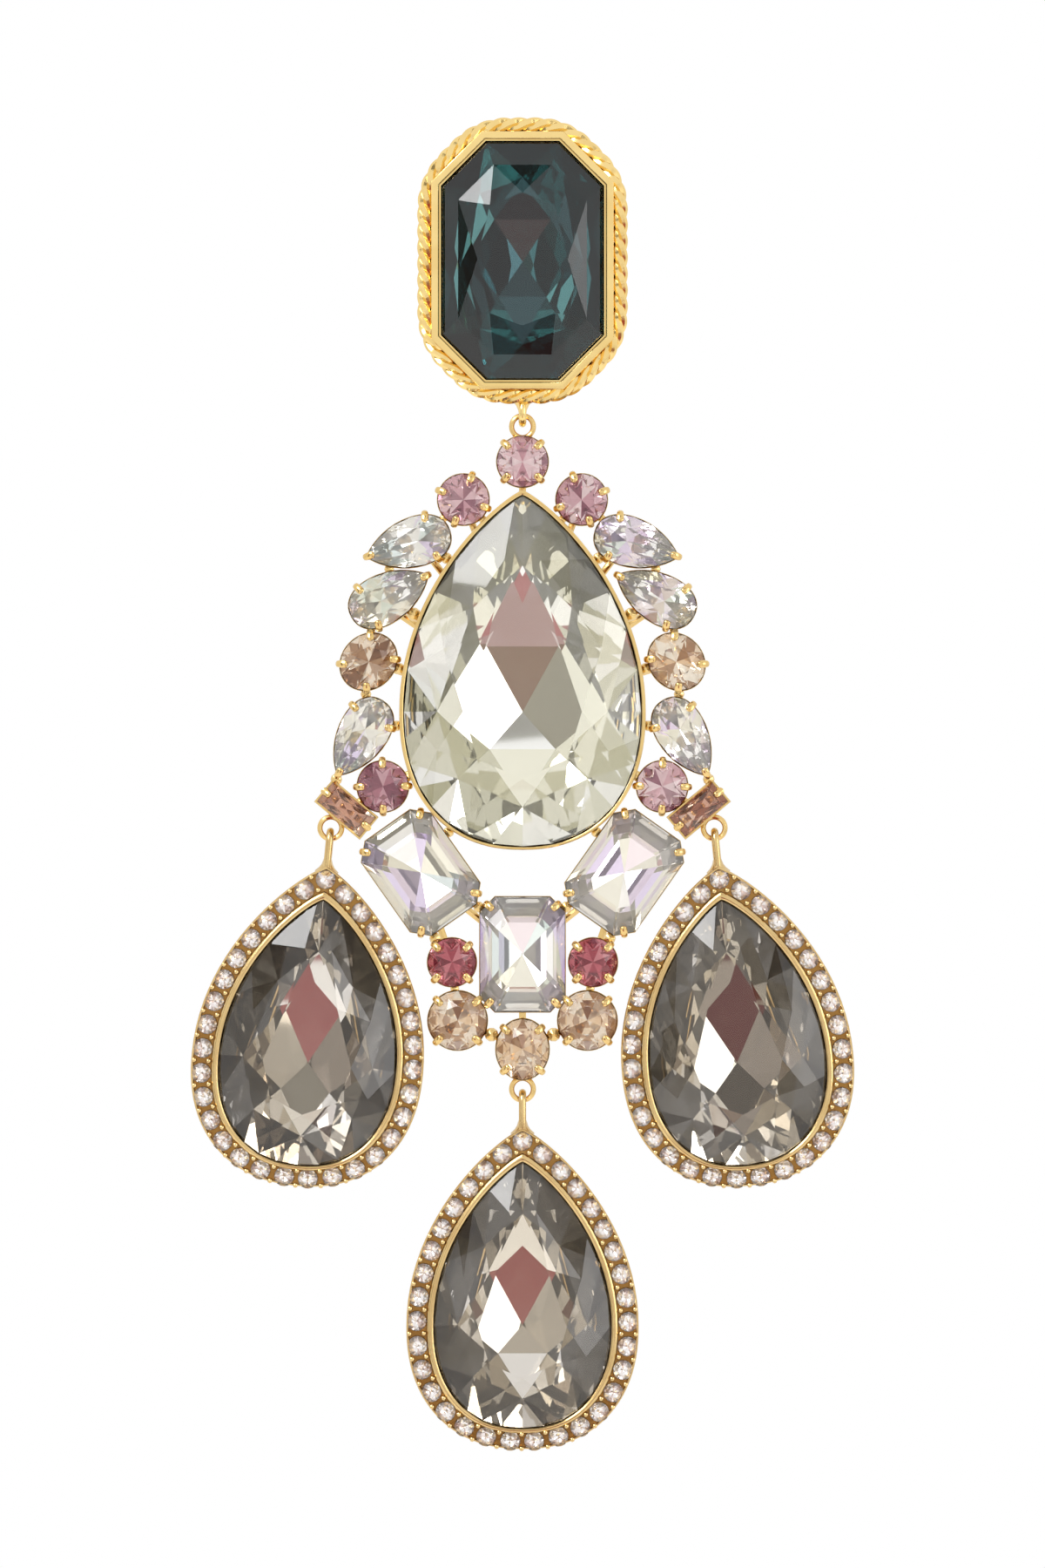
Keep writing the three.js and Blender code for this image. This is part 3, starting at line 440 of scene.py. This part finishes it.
def cut_glass(name, body, foil_tints_and_painted_glints, mirror=0.72):
    """Foil-backed glass: clear in front, and each facet behind is foil in the foil's own tint, made lighter or
    darker by chance as painted reflection.
    """
    material, tree, shader = principled(name, Roughness=GLASS_ROUGHNESS, IOR=GLASS_IOR)
    facing = node(tree, "NewGeometry")
    turn = node(tree, "VectorTransform", vector_type="NORMAL", convert_from="WORLD", convert_to="OBJECT")
    tree.links.new(facing.outputs["True Normal"], turn.inputs[0])
    outward = node(tree, "MapRange", in_3=1.0, in_4=-1.0)
    tree.links.new(facing.outputs["Backfacing"], outward.inputs[0])
    normal = node(tree, "VectorMath", operation="SCALE")
    tree.links.new(turn.outputs[0], normal.inputs[0])
    tree.links.new(outward.outputs[0], normal.inputs["Scale"])
    parts = node(tree, "SeparateXYZ")
    tree.links.new(normal.outputs[0], parts.inputs[0])
    behind = node(tree, "Math", operation="GREATER_THAN", in_1=FOIL_FACING)
    tree.links.new(parts.outputs["Y"], behind.inputs[0])
    coarse = node(tree, "VectorMath", operation="SNAP")
    coarse.inputs[1].default_value = (FACET_SNAP, FACET_SNAP, FACET_SNAP)
    tree.links.new(normal.outputs[0], coarse.inputs[0])
    # Painted reflection: a chance tone for each facet makes some foil facets light and some dark, standing in for
    # the light each facet catches; the tints are the foil's own.
    chance = node(tree, "TexWhiteNoise", noise_dimensions="3D")
    tree.links.new(coarse.outputs[0], chance.inputs[0])
    stops = [(i / len(foil_tints_and_painted_glints), colour) for i, colour in enumerate(foil_tints_and_painted_glints)]
    foil = ramp(tree, chance.outputs[0], stops, "CONSTANT")
    mix = node(tree, "Mix", data_type="RGBA")
    tree.links.new(behind.outputs[0], mix.inputs[0])
    mix.inputs[6].default_value = (*body, 1)
    tree.links.new(foil, mix.inputs[7])
    tree.links.new(mix.outputs[2], shader.inputs["Base Color"])
    foiled = node(tree, "Math", operation="MULTIPLY", in_1=mirror)
    tree.links.new(behind.outputs[0], foiled.inputs[0])
    tree.links.new(foiled.outputs[0], shader.inputs["Metallic"])
    front = node(tree, "Math", operation="SUBTRACT", in_0=1.0)
    tree.links.new(behind.outputs[0], front.inputs[1])
    tree.links.new(front.outputs[0], shader.inputs["Transmission Weight"])
    return material


# Tones of the foil, one for each facet by chance: the tints are the foil's own, and the spread from light to dark
# is painted reflection. looks holds every material by its short name.
STRAW = [(0.99, 0.98, 0.92), (0.90, 0.88, 0.74), (1.0, 0.99, 0.97), (0.62, 0.60, 0.46), (0.98, 0.96, 0.87),
         (1.0, 1.0, 0.98), (0.78, 0.76, 0.62)]
AURORA = [(0.99, 0.97, 0.90), (1.0, 0.99, 0.97), (0.82, 0.72, 0.92), (0.96, 0.93, 0.80), (0.98, 0.95, 0.90),
          (0.86, 0.94, 0.92), (1.0, 0.98, 0.95), (0.94, 0.84, 0.88), (0.86, 0.82, 0.68), (0.97, 0.96, 0.92)]
looks = {
    "stud_gold": gold("stud_gold", (0.92, 0.69, 0.29), (0.87, 0.63, 0.25), 0.14),
    "frame_gold": gold("frame_gold", (0.80, 0.57, 0.24), (0.74, 0.51, 0.20), 0.15),
    "drop_gold": gold("drop_gold", (0.72, 0.52, 0.24), (0.65, 0.45, 0.20), 0.2, 0.4),
    "teal": cut_glass("teal_crystal", (0.70, 0.85, 0.85),
                      [(0.015, 0.035, 0.04), (0.06, 0.17, 0.18), (0.14, 0.33, 0.33),
                       (0.03, 0.07, 0.08)], 0.92),
    "clear": cut_glass("straw_crystal", (1.0, 0.995, 0.975), STRAW, 0.78),
    "aurora": cut_glass("aurora_crystal", (1.0, 0.99, 0.97), AURORA, 0.68),
    "pink": cut_glass("mauve_crystal", (0.96, 0.86, 0.87),
                      [(0.70, 0.44, 0.49), (0.90, 0.72, 0.74), (0.36, 0.17, 0.22), (0.97, 0.90, 0.89)]),
    "red": cut_glass("rose_crystal", (0.92, 0.70, 0.72),
                     [(0.55, 0.14, 0.19), (0.76, 0.36, 0.40), (0.30, 0.05, 0.08), (0.94, 0.74, 0.72)]),
    "champagne": cut_glass("champagne_crystal", (0.99, 0.95, 0.89),
                           [(0.92, 0.76, 0.58), (0.99, 0.95, 0.88), (0.44, 0.26, 0.14), (0.95, 0.86, 0.76)]),
    "peach": cut_glass("peach_crystal", (0.97, 0.90, 0.84),
                       [(0.84, 0.60, 0.48), (0.97, 0.88, 0.76), (0.60, 0.34, 0.24)]),
    "smoke": cut_glass("smoke_crystal", (0.90, 0.88, 0.85),
                       [(0.68, 0.62, 0.52), (0.94, 0.92, 0.90), (0.48, 0.42, 0.33), (0.82, 0.79, 0.75),
                        (0.30, 0.25, 0.20), (0.78, 0.72, 0.62)], 0.83),
    "pave": cut_glass("pave_crystal", (1.0, 0.98, 0.97),
                      [(1.0, 0.98, 0.97), (0.98, 0.91, 0.90), (1.0, 1.0, 1.0), (0.68, 0.54, 0.49),
                       (0.99, 0.96, 0.95)], 0.66),
}
AURORA_NODES = ("upper_pear", "lower_pear", "side_pear", "side_octagon", "centre_octagon")
SLOT_LOOKS = {
    "teal_glass": "teal", "clear_glass": "clear", "pink_glass": "pink", "red_glass": "red",
    "champagne_glass": "champagne", "peach_glass": "peach", "smoke_glass": "smoke",
}


# Stones keep their own cut faces and get the glass looks
def dress_stones():
    for part in frame["record"]["subparts"]:
        look = SLOT_LOOKS.get(part["material_slot"])
        if not look:
            continue
        if part["node"].startswith(AURORA_NODES):
            look = "aurora"
        mesh = frame["nodes"][part["node"]].data
        mesh.materials.clear()
        mesh.materials.append(looks[look])
        mesh.polygons.foreach_set("use_smooth", [False] * len(mesh.polygons))


# Stud
def rope_path(stone):
    """Evenly spaced points round the stud, with rounded corners, and the whole length of the path."""
    by = STUD_BEZEL + ROPE_OUT
    corner = STUD_CORNER + by * (2 - math.sqrt(2))
    corners = [Vector(c) for c in corners_of(stone["length"] + 2 * by, stone["width"] + 2 * by, corner)]
    line, count, bend_steps = [], len(corners), 12
    for i, at in enumerate(corners):
        before, after = corners[i - 1], corners[(i + 1) % count]
        start = at.lerp(before, min(0.5, ROPE_BEND / (at - before).length))
        end = at.lerp(after, min(0.5, ROPE_BEND / (at - after).length))
        for k in range(bend_steps + 1):
            t = k / bend_steps
            line.append(start.lerp(at, t).lerp(at.lerp(end, t), t))
    walked = [0.0]
    for a, b in zip(line, line[1:] + line[:1]):
        walked.append(walked[-1] + (b - a).length)
    steps = round(walked[-1] / ROPE_STEP)
    points, k = [], 0
    for i in range(steps):
        goal = walked[-1] * i / steps
        while walked[k + 1] < goal:
            k += 1
        share = (goal - walked[k]) / max(1e-6, walked[k + 1] - walked[k])
        points.append(line[k].lerp(line[(k + 1) % len(line)], share))
    return points, walked[-1]


def rope(stone):
    points, length = rope_path(stone)
    count, turns = len(points), round(length / ROPE_TURN)
    shape = Shape()
    middle_y = STUD_FRONT + ROPE_RADIUS
    strand, offset = ROPE_RADIUS * STRAND_SHARE, ROPE_RADIUS * (1 - STRAND_SHARE)
    for s in range(ROPE_STRANDS):
        path = []
        for i, point in enumerate(points):
            along = (points[(i + 1) % count] - points[i - 1]).normalized()
            out = Vector((-along.y, 0, along.x))
            turn = 2 * math.pi * (i * turns / count + s / ROPE_STRANDS)
            middle = Vector((stone["x"] + point.x, middle_y, stone["z"] + point.y))
            path.append(middle + (out * math.cos(turn) + Y * math.sin(turn)) * offset)
        shape.tube(path, Y, [(strand, strand)] * count, sides=8, closed=True)
    return shape


def stud_metal():
    stone = measured("stud_stone", "octagon")
    stone["corner"] = STUD_CORNER
    face = STUD_FRONT - stone["girdle"]
    back = -stone["girdle"]
    shape = Shape()
    shape.loft(outline_rings(stone, 8, [
        (0, back - 0.7, 0.06), (0, back - 0.75, 0.47), (STUD_GAP, back - 2.7, 0.76),
        (STUD_GAP, face + 0.9, 1), (STUD_GAP, face + 0.32, 1), (STUD_GAP + 0.03, face + INNER_STEP, 1),
        (STUD_STEP - 0.05, face + INNER_STEP, 1), (STUD_STEP, face + 0.22, 1), (STUD_STEP, face + 0.05, 1),
        (STUD_STEP + 0.06, face, 1), (STUD_BEZEL - 0.14, face, 1), (STUD_BEZEL - 0.04, face + 0.04, 1),
        (STUD_BEZEL, face + 0.14, 1), (STUD_BEZEL, back - 0.9, 1), (STUD_BEZEL, back - 0.7, 0.995),
        (STUD_BEZEL, back - 0.1, 0.94), (STUD_BEZEL, back, 0.925),
    ]))
    shape.add(rope(stone))
    hang = hang_point("centre_swing")
    eye = hang + Z * EYE_ABOVE
    shape.tube(circle(eye, EYE_RADIUS, Y, Z), X, [(EYE_WIRE, EYE_WIRE)] * 32, closed=True)
    top = stone["z"] - stone["length"] / 2 - STUD_BEZEL - ROPE_OUT
    shape.loft([circle(Vector((0, hang.y, top + up)), wide, X, Y, 16) for up, wide in EYE_STEM])
    return shape


def hang_point(joint):
    row = next(j for j in frame["joints"] if j["name"] == joint)
    return Vector(row["pos_m"]) / MM


def hang_lean(joint):
    row = next(j for j in frame["joints"] if j["name"] == joint)
    return math.atan2(-row["axis"][2], row["axis"][0])


# Clip behind the stud
def clip_metal():
    low, high = (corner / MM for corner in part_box("ear_clip"))
    half = (high.x - low.x) / 2 - CLIP_SLIM
    arm_y, foot_z = high.y - CLIP_ARM_IN, low.z + CLIP_WALL
    bend = [(arm_y - CLIP_BEND * (1 - math.sin(a)), foot_z + CLIP_BEND * (1 - math.cos(a)))
            for a in [math.pi / 2 * i / 8 for i in range(9)]]
    spine = [(low.y, foot_z), *bend, (arm_y, high.z - CLIP_PAD), (arm_y, high.z - 1)]
    path = [Vector((0, y, z)) for y, z in spine]
    rings = []
    for i, point in enumerate(path):
        along = (path[min(len(path) - 1, i + 1)] - path[max(0, i - 1)]).normalized()
        out = along.cross(X)
        rings.append([point + X * a * half + out * b * CLIP_WALL / 2 for a, b in rounded_box()])
    shape = Shape()
    shape.loft(rings)
    middle = Vector((0, high.y - PAD_IN, high.z - CLIP_PAD))
    shape.loft([circle(middle + Y * y, PAD_RADIUS * share, X, Z, 40) for y, share in PAD_ROWS])
    return shape


def rounded_box():
    """Corners of a strip's section, as shares of its half width and half thickness."""
    return [(0.9, 1), (1, 0.5), (1, -0.5), (0.9, -1), (-0.9, -1), (-1, -0.5), (-1, 0.5), (-0.9, 1)]


# Centre piece
def cup(stone):
    depth = CUP_DEPTH
    shape = Shape()
    wide = OBLONG_LIP if stone["form"] == "oblong" else CUP_LIP
    shape.loft(outline_rings(stone, 40, [
        (0, depth * 0.72, 0.06), (0, 1.7, 0.66), (-0.02, 0.5, 0.99), (0.0, 0.34, 1), (wide, 0.3, 1),
        (wide + 0.06, 0.42, 1), (wide + 0.04, 0.7, 1), (0, 1.4, 0.95), (0, depth * 0.55, 0.86),
        (0, depth * 0.85, 0.66), (0, depth * 0.97, 0.58), (0, depth, 0.5),
    ]))
    return shape


def claw(stone, t):
    """A rounded prong up the stone's side and over its crown."""
    at = grown(stone, 0)
    x, z = at(t)
    (x0, z0), (x1, z1) = at(t - 0.01), at(t + 0.01)
    along = (Vector((x1 - x0, 0, z1 - z0))).normalized()
    out = Vector((-along.z, 0, along.x))
    tip, low = (OBLONG_TIP, OBLONG_LOW) if stone["form"] == "oblong" else (CLAW_TIP, 0)
    rows = [  # out, y, half width and half thickness
        (-0.5, 2.4, 0.34, 0.2), (0.14, 1.1, 0.36, 0.22), (0.26, 0.3, 0.37, 0.24), (0.26, -0.3, 0.38, 0.25),
        (0.12, -0.62 + low, 0.40, 0.27), (-0.16, -0.84 + low, 0.43, 0.28), (-tip, -1.02 + low, 0.40, 0.26),
    ]
    path, radii = [], []
    for off, y, wide, thick in rows:
        spot = Vector((x, 0, z)) + out * off
        path.append(placed(stone, spot.x, y, spot.z))
        radii.append((thick, wide))
    cos, sin = math.cos(stone["lean"]), math.sin(stone["lean"])
    side = Vector((along.x * cos + along.z * sin, 0, along.z * cos - along.x * sin))
    shape = Shape()
    shape.tube(path, side, radii, sides=10, round_ends=True)
    return shape


def nearest(stone, by, spot, count=360):
    """The point of a stone's outline, grown by that much, that lies nearest to spot."""
    at = grown(stone, by)
    edge = [placed(stone, x, 0, z) for x, z in (at(i / count) for i in range(count))]
    return min(edge, key=lambda p: math.hypot(p.x - spot.x, p.z - spot.z))


def small_stones():
    stones = {}
    for name, (form, turn) in FORMS.items():
        for node_name in (name, name + "_left", name + "_right"):
            if node_name in frame["nodes"]:
                stones[node_name] = measured(node_name, form, turn)
    return stones


# Stones that a bar joins, stones with a bar into the large collet, and gaps that carry a bead of solder
LOWER_BARS = [
    ("side_octagon", "centre_octagon"), ("side_octagon", "red"), ("red", "champagne"),
    ("champagne", "champagne_centre"), ("low_chaton", "baguette"),
]
INWARD = ["chaton", "upper_pear", "lower_pear", "oval", "side_pear", "low_chaton", "side_octagon"]
SOLDER = [
    ("lower_pear", "oval"), ("oval", "side_pear"), ("side_pear", "baguette"), ("upper_pear", "lower_pear"),
    ("chaton", "upper_pear"), ("side_octagon", "centre_octagon"), ("red", "champagne"),
    ("champagne", "champagne_centre"), ("side_octagon", "red"),
]


def centre_metal():
    stones = small_stones()
    large = measured("centre_stone", "pear")
    bars_y = stones["chaton_top"]["girdle"] + STRUT_BACK
    shape = Shape()
    shape.loft(outline_rings(large, 112, [
        (0, COLLET_BACK - 0.2, 0.06), (0, COLLET_BACK - 0.22, 0.47), (0.12, 3.4, 0.74), (0.12, 0.5, 1),
        (0.10, -0.3, 1), (0.14, -BEZEL_LIP + 0.06, 1), (0.24, -BEZEL_LIP, 1), (0.42, -BEZEL_LIP, 1),
        (0.54, -BEZEL_LIP + 0.1, 1), (BEZEL_OUT, -0.25, 1), (BEZEL_OUT, 0.8, 0.995), (BEZEL_OUT, 2.6, 0.97),
        (BEZEL_OUT, 4.4, 0.76), (BEZEL_OUT, 5.5, 0.58), (BEZEL_OUT, COLLET_BACK, 0.5),
    ]))
    for stone in stones.values():
        shape.add(cup(stone))
        for t in CLAWS[stone["form"]]:
            shape.add(claw(stone, t))
    for side in ("_left", "_right"):
        join_side(shape, stones, large, side, bars_y)
    top = stones["chaton_top"]
    foot = nearest(large, BEZEL_OUT, spot_of(top))
    bar(shape, spot_of(top), spot_of(large).lerp(foot, STRUT_FOOT), bars_y)
    bar(shape, spot_of(stones["centre_octagon"]), spot_of(stones["champagne_centre"]), bars_y)
    for joint in ("centre_swing", "drop_left_swing", "drop_right_swing", "drop_centre_swing"):
        shape.add(link_ring(joint))
    return shape


def join_side(shape, stones, large, side, bars_y):
    """Bars and solder of one side."""
    def find(name):
        return stones.get(name + side) or stones[name]
    for a, b in LOWER_BARS:
        bar(shape, spot_of(find(a)), spot_of(find(b)), bars_y)
    for name in INWARD:
        stone = find(name)
        foot = nearest(large, BEZEL_OUT, spot_of(stone))
        bar(shape, spot_of(stone), spot_of(large).lerp(foot, STRUT_FOOT), bars_y)
        solder(shape, foot, nearest(stone, 0.1, foot), stone["girdle"])
    for a, b in SOLDER:
        one = nearest(find(a), 0.1, spot_of(find(b)))
        two = nearest(find(b), 0.1, one)
        solder(shape, nearest(find(a), 0.1, two), two, find(a)["girdle"])


def spot_of(stone):
    return Vector((stone["x"], 0, stone["z"]))


def bar(shape, a, b, y):
    ends = [Vector((p.x, y, p.z)) for p in (a, b)]
    shape.tube(ends, Y, [(STRUT_RADIUS, STRUT_RADIUS)] * 2, sides=10, round_ends=True)


def solder(shape, a, b, girdle):
    """A small bead of solder in the gap between two settings."""
    middle = (a + b) / 2
    radius = min(SOLDER_MOST, SOLDER_RADIUS + (a - b).xz.length * 0.3)
    shape.bead(Vector((middle.x, girdle + SOLDER_BACK, middle.z)), radius)


def link_ring(joint):
    """The small soldered ring that a hanging part's wire passes through."""
    lean = hang_lean(joint)
    sign = -1 if joint == "centre_swing" else 1
    up = Vector((math.sin(lean), 0, math.cos(lean)))
    middle = hang_point(joint) + up * LINK_RADIUS * sign
    shape = Shape()
    shape.tube(circle(middle, LINK_RADIUS, X, Z), Y, [(LINK_WIRE, LINK_WIRE)] * 32, sides=10, closed=True)
    return shape


# Drops, built hanging straight down from their own pivot and then leaned
def drop_stone(name):
    """The drop's stone as if it hung straight under a pivot at the origin."""
    joint = name + "_swing"
    pivot, lean = hang_point(joint), hang_lean(joint)
    stone = measured(name + "_stone", "pear")
    below = math.hypot(stone["x"] - pivot.x, stone["z"] - pivot.z)
    stone.update(x=0.0, z=-below, lean=0.0, girdle=stone["girdle"] - pivot.y)
    matrix = Matrix.Translation(pivot) @ Matrix.Rotation(lean, 4, "Y")
    return stone, matrix


def even_places(at, count, fine=1440):
    """Points spaced evenly along an outline, with the way out at each."""
    walked, before = [0.0], at(0)
    for i in range(1, fine + 1):
        x, z = at(i / fine)
        walked.append(walked[-1] + math.hypot(x - before[0], z - before[1]))
        before = (x, z)
    spots, i = [], 0
    for k in range(count):
        while walked[i] < walked[-1] * k / count:
            i += 1
        x, z = at(i / fine)
        (x0, z0), (x1, z1) = at((i - 4) / fine), at((i + 4) / fine)
        along = Vector((x1 - x0, 0, z1 - z0)).normalized()
        spots.append((x, z, Vector((-along.z, 0, along.x))))
    return spots


def drop_metal(stone):
    shape = Shape()
    shape.loft(outline_rings(stone, 96, [
        (0, 5.1, 0.06), (0, 5.0, 0.46), (0.12, 3.1, 0.74), (0.12, 0.3, 1), (0.08, -0.3, 1), (0.14, -0.46, 1),
        (0.28, -0.56, 1), (0.45, -0.58, 1), (0.62, -0.54, 1), (0.78, -0.40, 1), (0.84, -0.18, 1),
        (0.88, CHANNEL_FLOOR, 1), (2.86, CHANNEL_FLOOR, 1), (2.89, -0.22, 1), (2.95, -0.31, 1),
        (3.06, -0.31, 1), (3.14, -0.22, 1), (HALO_RIM, -0.05, 1), (HALO_RIM, 1.2, 0.998), (3.15, 2.0, 0.99),
        (2.9, 2.22, 0.985), (1.3, 2.26, 1), (0.95, 2.4, 0.97), (0.85, 3.6, 0.9), (0.85, 4.9, 0.7),
        (0.85, 5.7, 0.56), (0.85, 5.9, 0.48),
    ]))
    loop_points = []
    for middle, start in ((BAIL_TOP - BAIL_HALF, 0), (BAIL_FOOT + BAIL_HALF, math.pi)):
        for i in range(13):
            turn = start + math.pi * i / 12
            loop_points.append(Vector((0, math.cos(turn) * BAIL_HALF, middle + math.sin(turn) * BAIL_HALF)))
    shape.tube(loop_points, X, [(BAIL_WIRE, BAIL_WIRE)] * len(loop_points), closed=True)
    turns = [2 * math.pi * k / 20 for k in range(20)]
    shape.loft([[Vector((math.cos(a) * wide, math.sin(a) * deep, up)) for a in turns]
                for up, wide, deep in SADDLE])
    between = even_places(grown(stone, CHANNEL_MIDDLE), PAVE_COUNT * 2)[1::2]
    for x, z, out in between:
        for off in (-BEAD_OUT, BEAD_OUT):
            spot = Vector((x, 0, z)) + out * off
            tip = Vector((spot.x, PAVE_FACE - BEAD_PROUD, stone["z"] + spot.z))
            shape.bead(tip, BEAD_RADIUS, sides=8)
            root = Vector((tip.x, GIRDLE_AT + CHANNEL_FLOOR + 0.1, tip.z))
            shape.tube([tip, root], X, [(BEAD_RADIUS * POST_SHARE, BEAD_RADIUS * POST_SHARE)] * 2, sides=6)
    return shape


def pave_level(middle, turn, share, y, phase=0.0, count=8):
    """One ring of a pavé stone's corners."""
    turns = [2 * math.pi * (i + phase) / count + turn for i in range(count)]
    return [middle + Vector((math.cos(a), 0, math.sin(a))) * PAVE_RADIUS * share + Y * y for a in turns]


def pave_stones(stone):
    """The halo's small brilliants."""
    shape = Shape()
    for k, (x, z, _) in enumerate(even_places(grown(stone, CHANNEL_MIDDLE), PAVE_COUNT)):
        turn = PAVE_TURN * k
        middle = Vector((x, PAVE_FACE, stone["z"] + z))
        table = pave_level(middle, turn, PAVE_TABLE, -PAVE_CROWN)
        star = pave_level(middle, turn, PAVE_STAR, -PAVE_SHOULDER, 0.5)
        edge = pave_level(middle, turn, 1, -0.02, 0, 16)
        low = pave_level(middle, turn, 1, 0.06, 0, 16)
        tables = len(shape.points)
        stars, edges, lows, culet = tables + 8, tables + 16, tables + 32, tables + 48
        shape.points.extend([*table, *star, *edge, *low, middle + Y * PAVE_CULET])
        shape.faces.append(tuple(range(tables, stars)))
        for i in range(8):
            n, g = (i + 1) % 8, 2 * i
            shape.faces.append((tables + i, tables + n, stars + i))
            shape.faces.append((tables + n, stars + i, edges + (g + 2) % 16, stars + n))
            shape.faces.append((stars + i, edges + g, edges + g + 1))
            shape.faces.append((stars + i, edges + g + 1, edges + (g + 2) % 16))
        for g in range(16):
            shape.faces.append((edges + g, edges + (g + 1) % 16, lows + (g + 1) % 16, lows + g))
        for g in range(16):
            shape.faces.append((lows + g, lows + (g + 1) % 16, culet))
    return shape


# Assembly
def finish_piece(piece, body, slot, *replaced):
    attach(piece, body)
    if replaced:
        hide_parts(*replaced)


def make_pieces():
    stud = stud_metal().build("stud_gold_setting", looks["stud_gold"])
    finish_piece(stud, "stud", "gold", "stud_setting")
    clip = clip_metal().build("ear_clip_sprung", looks["stud_gold"])
    finish_piece(clip, "stud", "gold", "ear_clip")
    centre = centre_metal().build("centre_gold_frame", looks["frame_gold"])
    finish_piece(centre, "centre", "gold", "centre_frame")
    for name in ("drop_left", "drop_right", "drop_centre"):
        stone, matrix = drop_stone(name)
        metal, small = Shape(), Shape()
        metal.add(drop_metal(stone), matrix)
        small.add(pave_stones(stone), matrix)
        halo = metal.build(name + "_gold_halo", looks["drop_gold"])
        finish_piece(halo, name, "gold", name + "_setting")
        finish_piece(small.build(name + "_pave", looks["pave"], 0.0), name, "clear_glass")


# Studio
def flat_panel(name, wide, high):
    """A level rectangle of that half width and half height."""
    mesh = bpy.data.meshes.new(name)
    corners = [(-wide, -high, 0), (wide, -high, 0), (wide, high, 0), (-wide, high, 0)]
    mesh.from_pydata(corners, [], [(0, 1, 2, 3)])
    made = bpy.data.objects.new(name, mesh)
    bpy.context.scene.collection.objects.link(made)
    return made


def card(name, middle, size, toward, colour):
    """A card that only shows in reflections and through the stones."""
    made = flat_panel(name, size[0] / 2, size[1] / 2)
    made.location = middle
    made.rotation_euler = (Vector(toward) - Vector(middle)).to_track_quat("Z", "Y").to_euler()
    material = bpy.data.materials.new(name)
    material.use_nodes = True
    tree = material.node_tree
    tree.nodes.clear()
    glow = node(tree, "Emission", in_0=(*colour, 1), in_1=1.0)
    tree.links.new(glow.outputs[0], node(tree, "OutputMaterial").inputs[0])
    made.data.materials.append(material)
    made.visible_camera = False
    made.visible_shadow = False
    made.visible_diffuse = False


def lamp(name, middle, size, power, toward):
    light = bpy.data.lights.new(name, "AREA")
    light.shape, light.size, light.energy = "SQUARE", size, power
    made = bpy.data.objects.new(name, light)
    made.location = middle
    made.rotation_euler = (Vector(toward) - Vector(middle)).to_track_quat("-Z", "Y").to_euler()
    bpy.context.scene.collection.objects.link(made)


def studio():
    middle = (cad_low + cad_high) / 2
    aim = tuple(middle)
    world = bpy.data.worlds.new("studio")
    world.use_nodes = True
    backdrop = world.node_tree.nodes["Background"]
    backdrop.inputs[0].default_value = (1, 1, 1, 1)
    backdrop.inputs[1].default_value = 1.0
    bpy.context.scene.world = world
    floor = flat_panel("floor", FLOOR_HALF, FLOOR_HALF)
    floor.location.z = cad_low.z - FLOOR_BELOW
    material, tree, shader = principled("pale_floor", Roughness=0.7)
    grain = node(tree, "TexNoise", in_2=40.0)
    tree.links.new(ramp(tree, grain.outputs[0], [(0.3, (0.88, 0.87, 0.85)), (0.7, (0.91, 0.90, 0.88))]),
                   shader.inputs["Base Color"])
    floor.data.materials.append(material)
    lamp("key", (-0.45, -0.55, 0.5), 0.4, 4.5, aim)
    lamp("fill", (0.7, -0.5, 0.05), 0.5, 1.5, aim)
    card("rose_card", (0, -0.36, -0.215), (0.16, 0.10), aim, (0.34, 0.17, 0.15))
    card("garnet_card", (0, -0.36, -0.33), (0.18, 0.13), aim, (0.36, 0.05, 0.045))
    card("dark_left", (-0.42, -0.36, -0.05), (0.10, 0.55), aim, (0.22, 0.20, 0.17))
    card("dark_right", (0.40, -0.42, 0.0), (0.08, 0.5), aim, (0.26, 0.24, 0.20))
    card("dark_top", (0.05, -0.35, 0.34), (0.3, 0.07), aim, (0.2, 0.19, 0.16))
    camera = bpy.data.cameras.new("camera")
    camera.sensor_fit = "VERTICAL"
    camera.sensor_height = SENSOR
    camera.clip_start = 0.01
    camera.lens = SENSOR * (CAMERA_DISTANCE + cad_low.y) / ((cad_high.z - cad_low.z) * FRAME_SHARE)
    made = bpy.data.objects.new("camera", camera)
    made.location = (middle.x, -CAMERA_DISTANCE, middle.z)
    made.rotation_euler = (math.pi / 2, 0, 0)
    bpy.context.scene.collection.objects.link(made)
    bpy.context.scene.camera = made
    bpy.context.scene.view_settings.view_transform = "Standard"


dress_stones()
make_pieces()
studio()
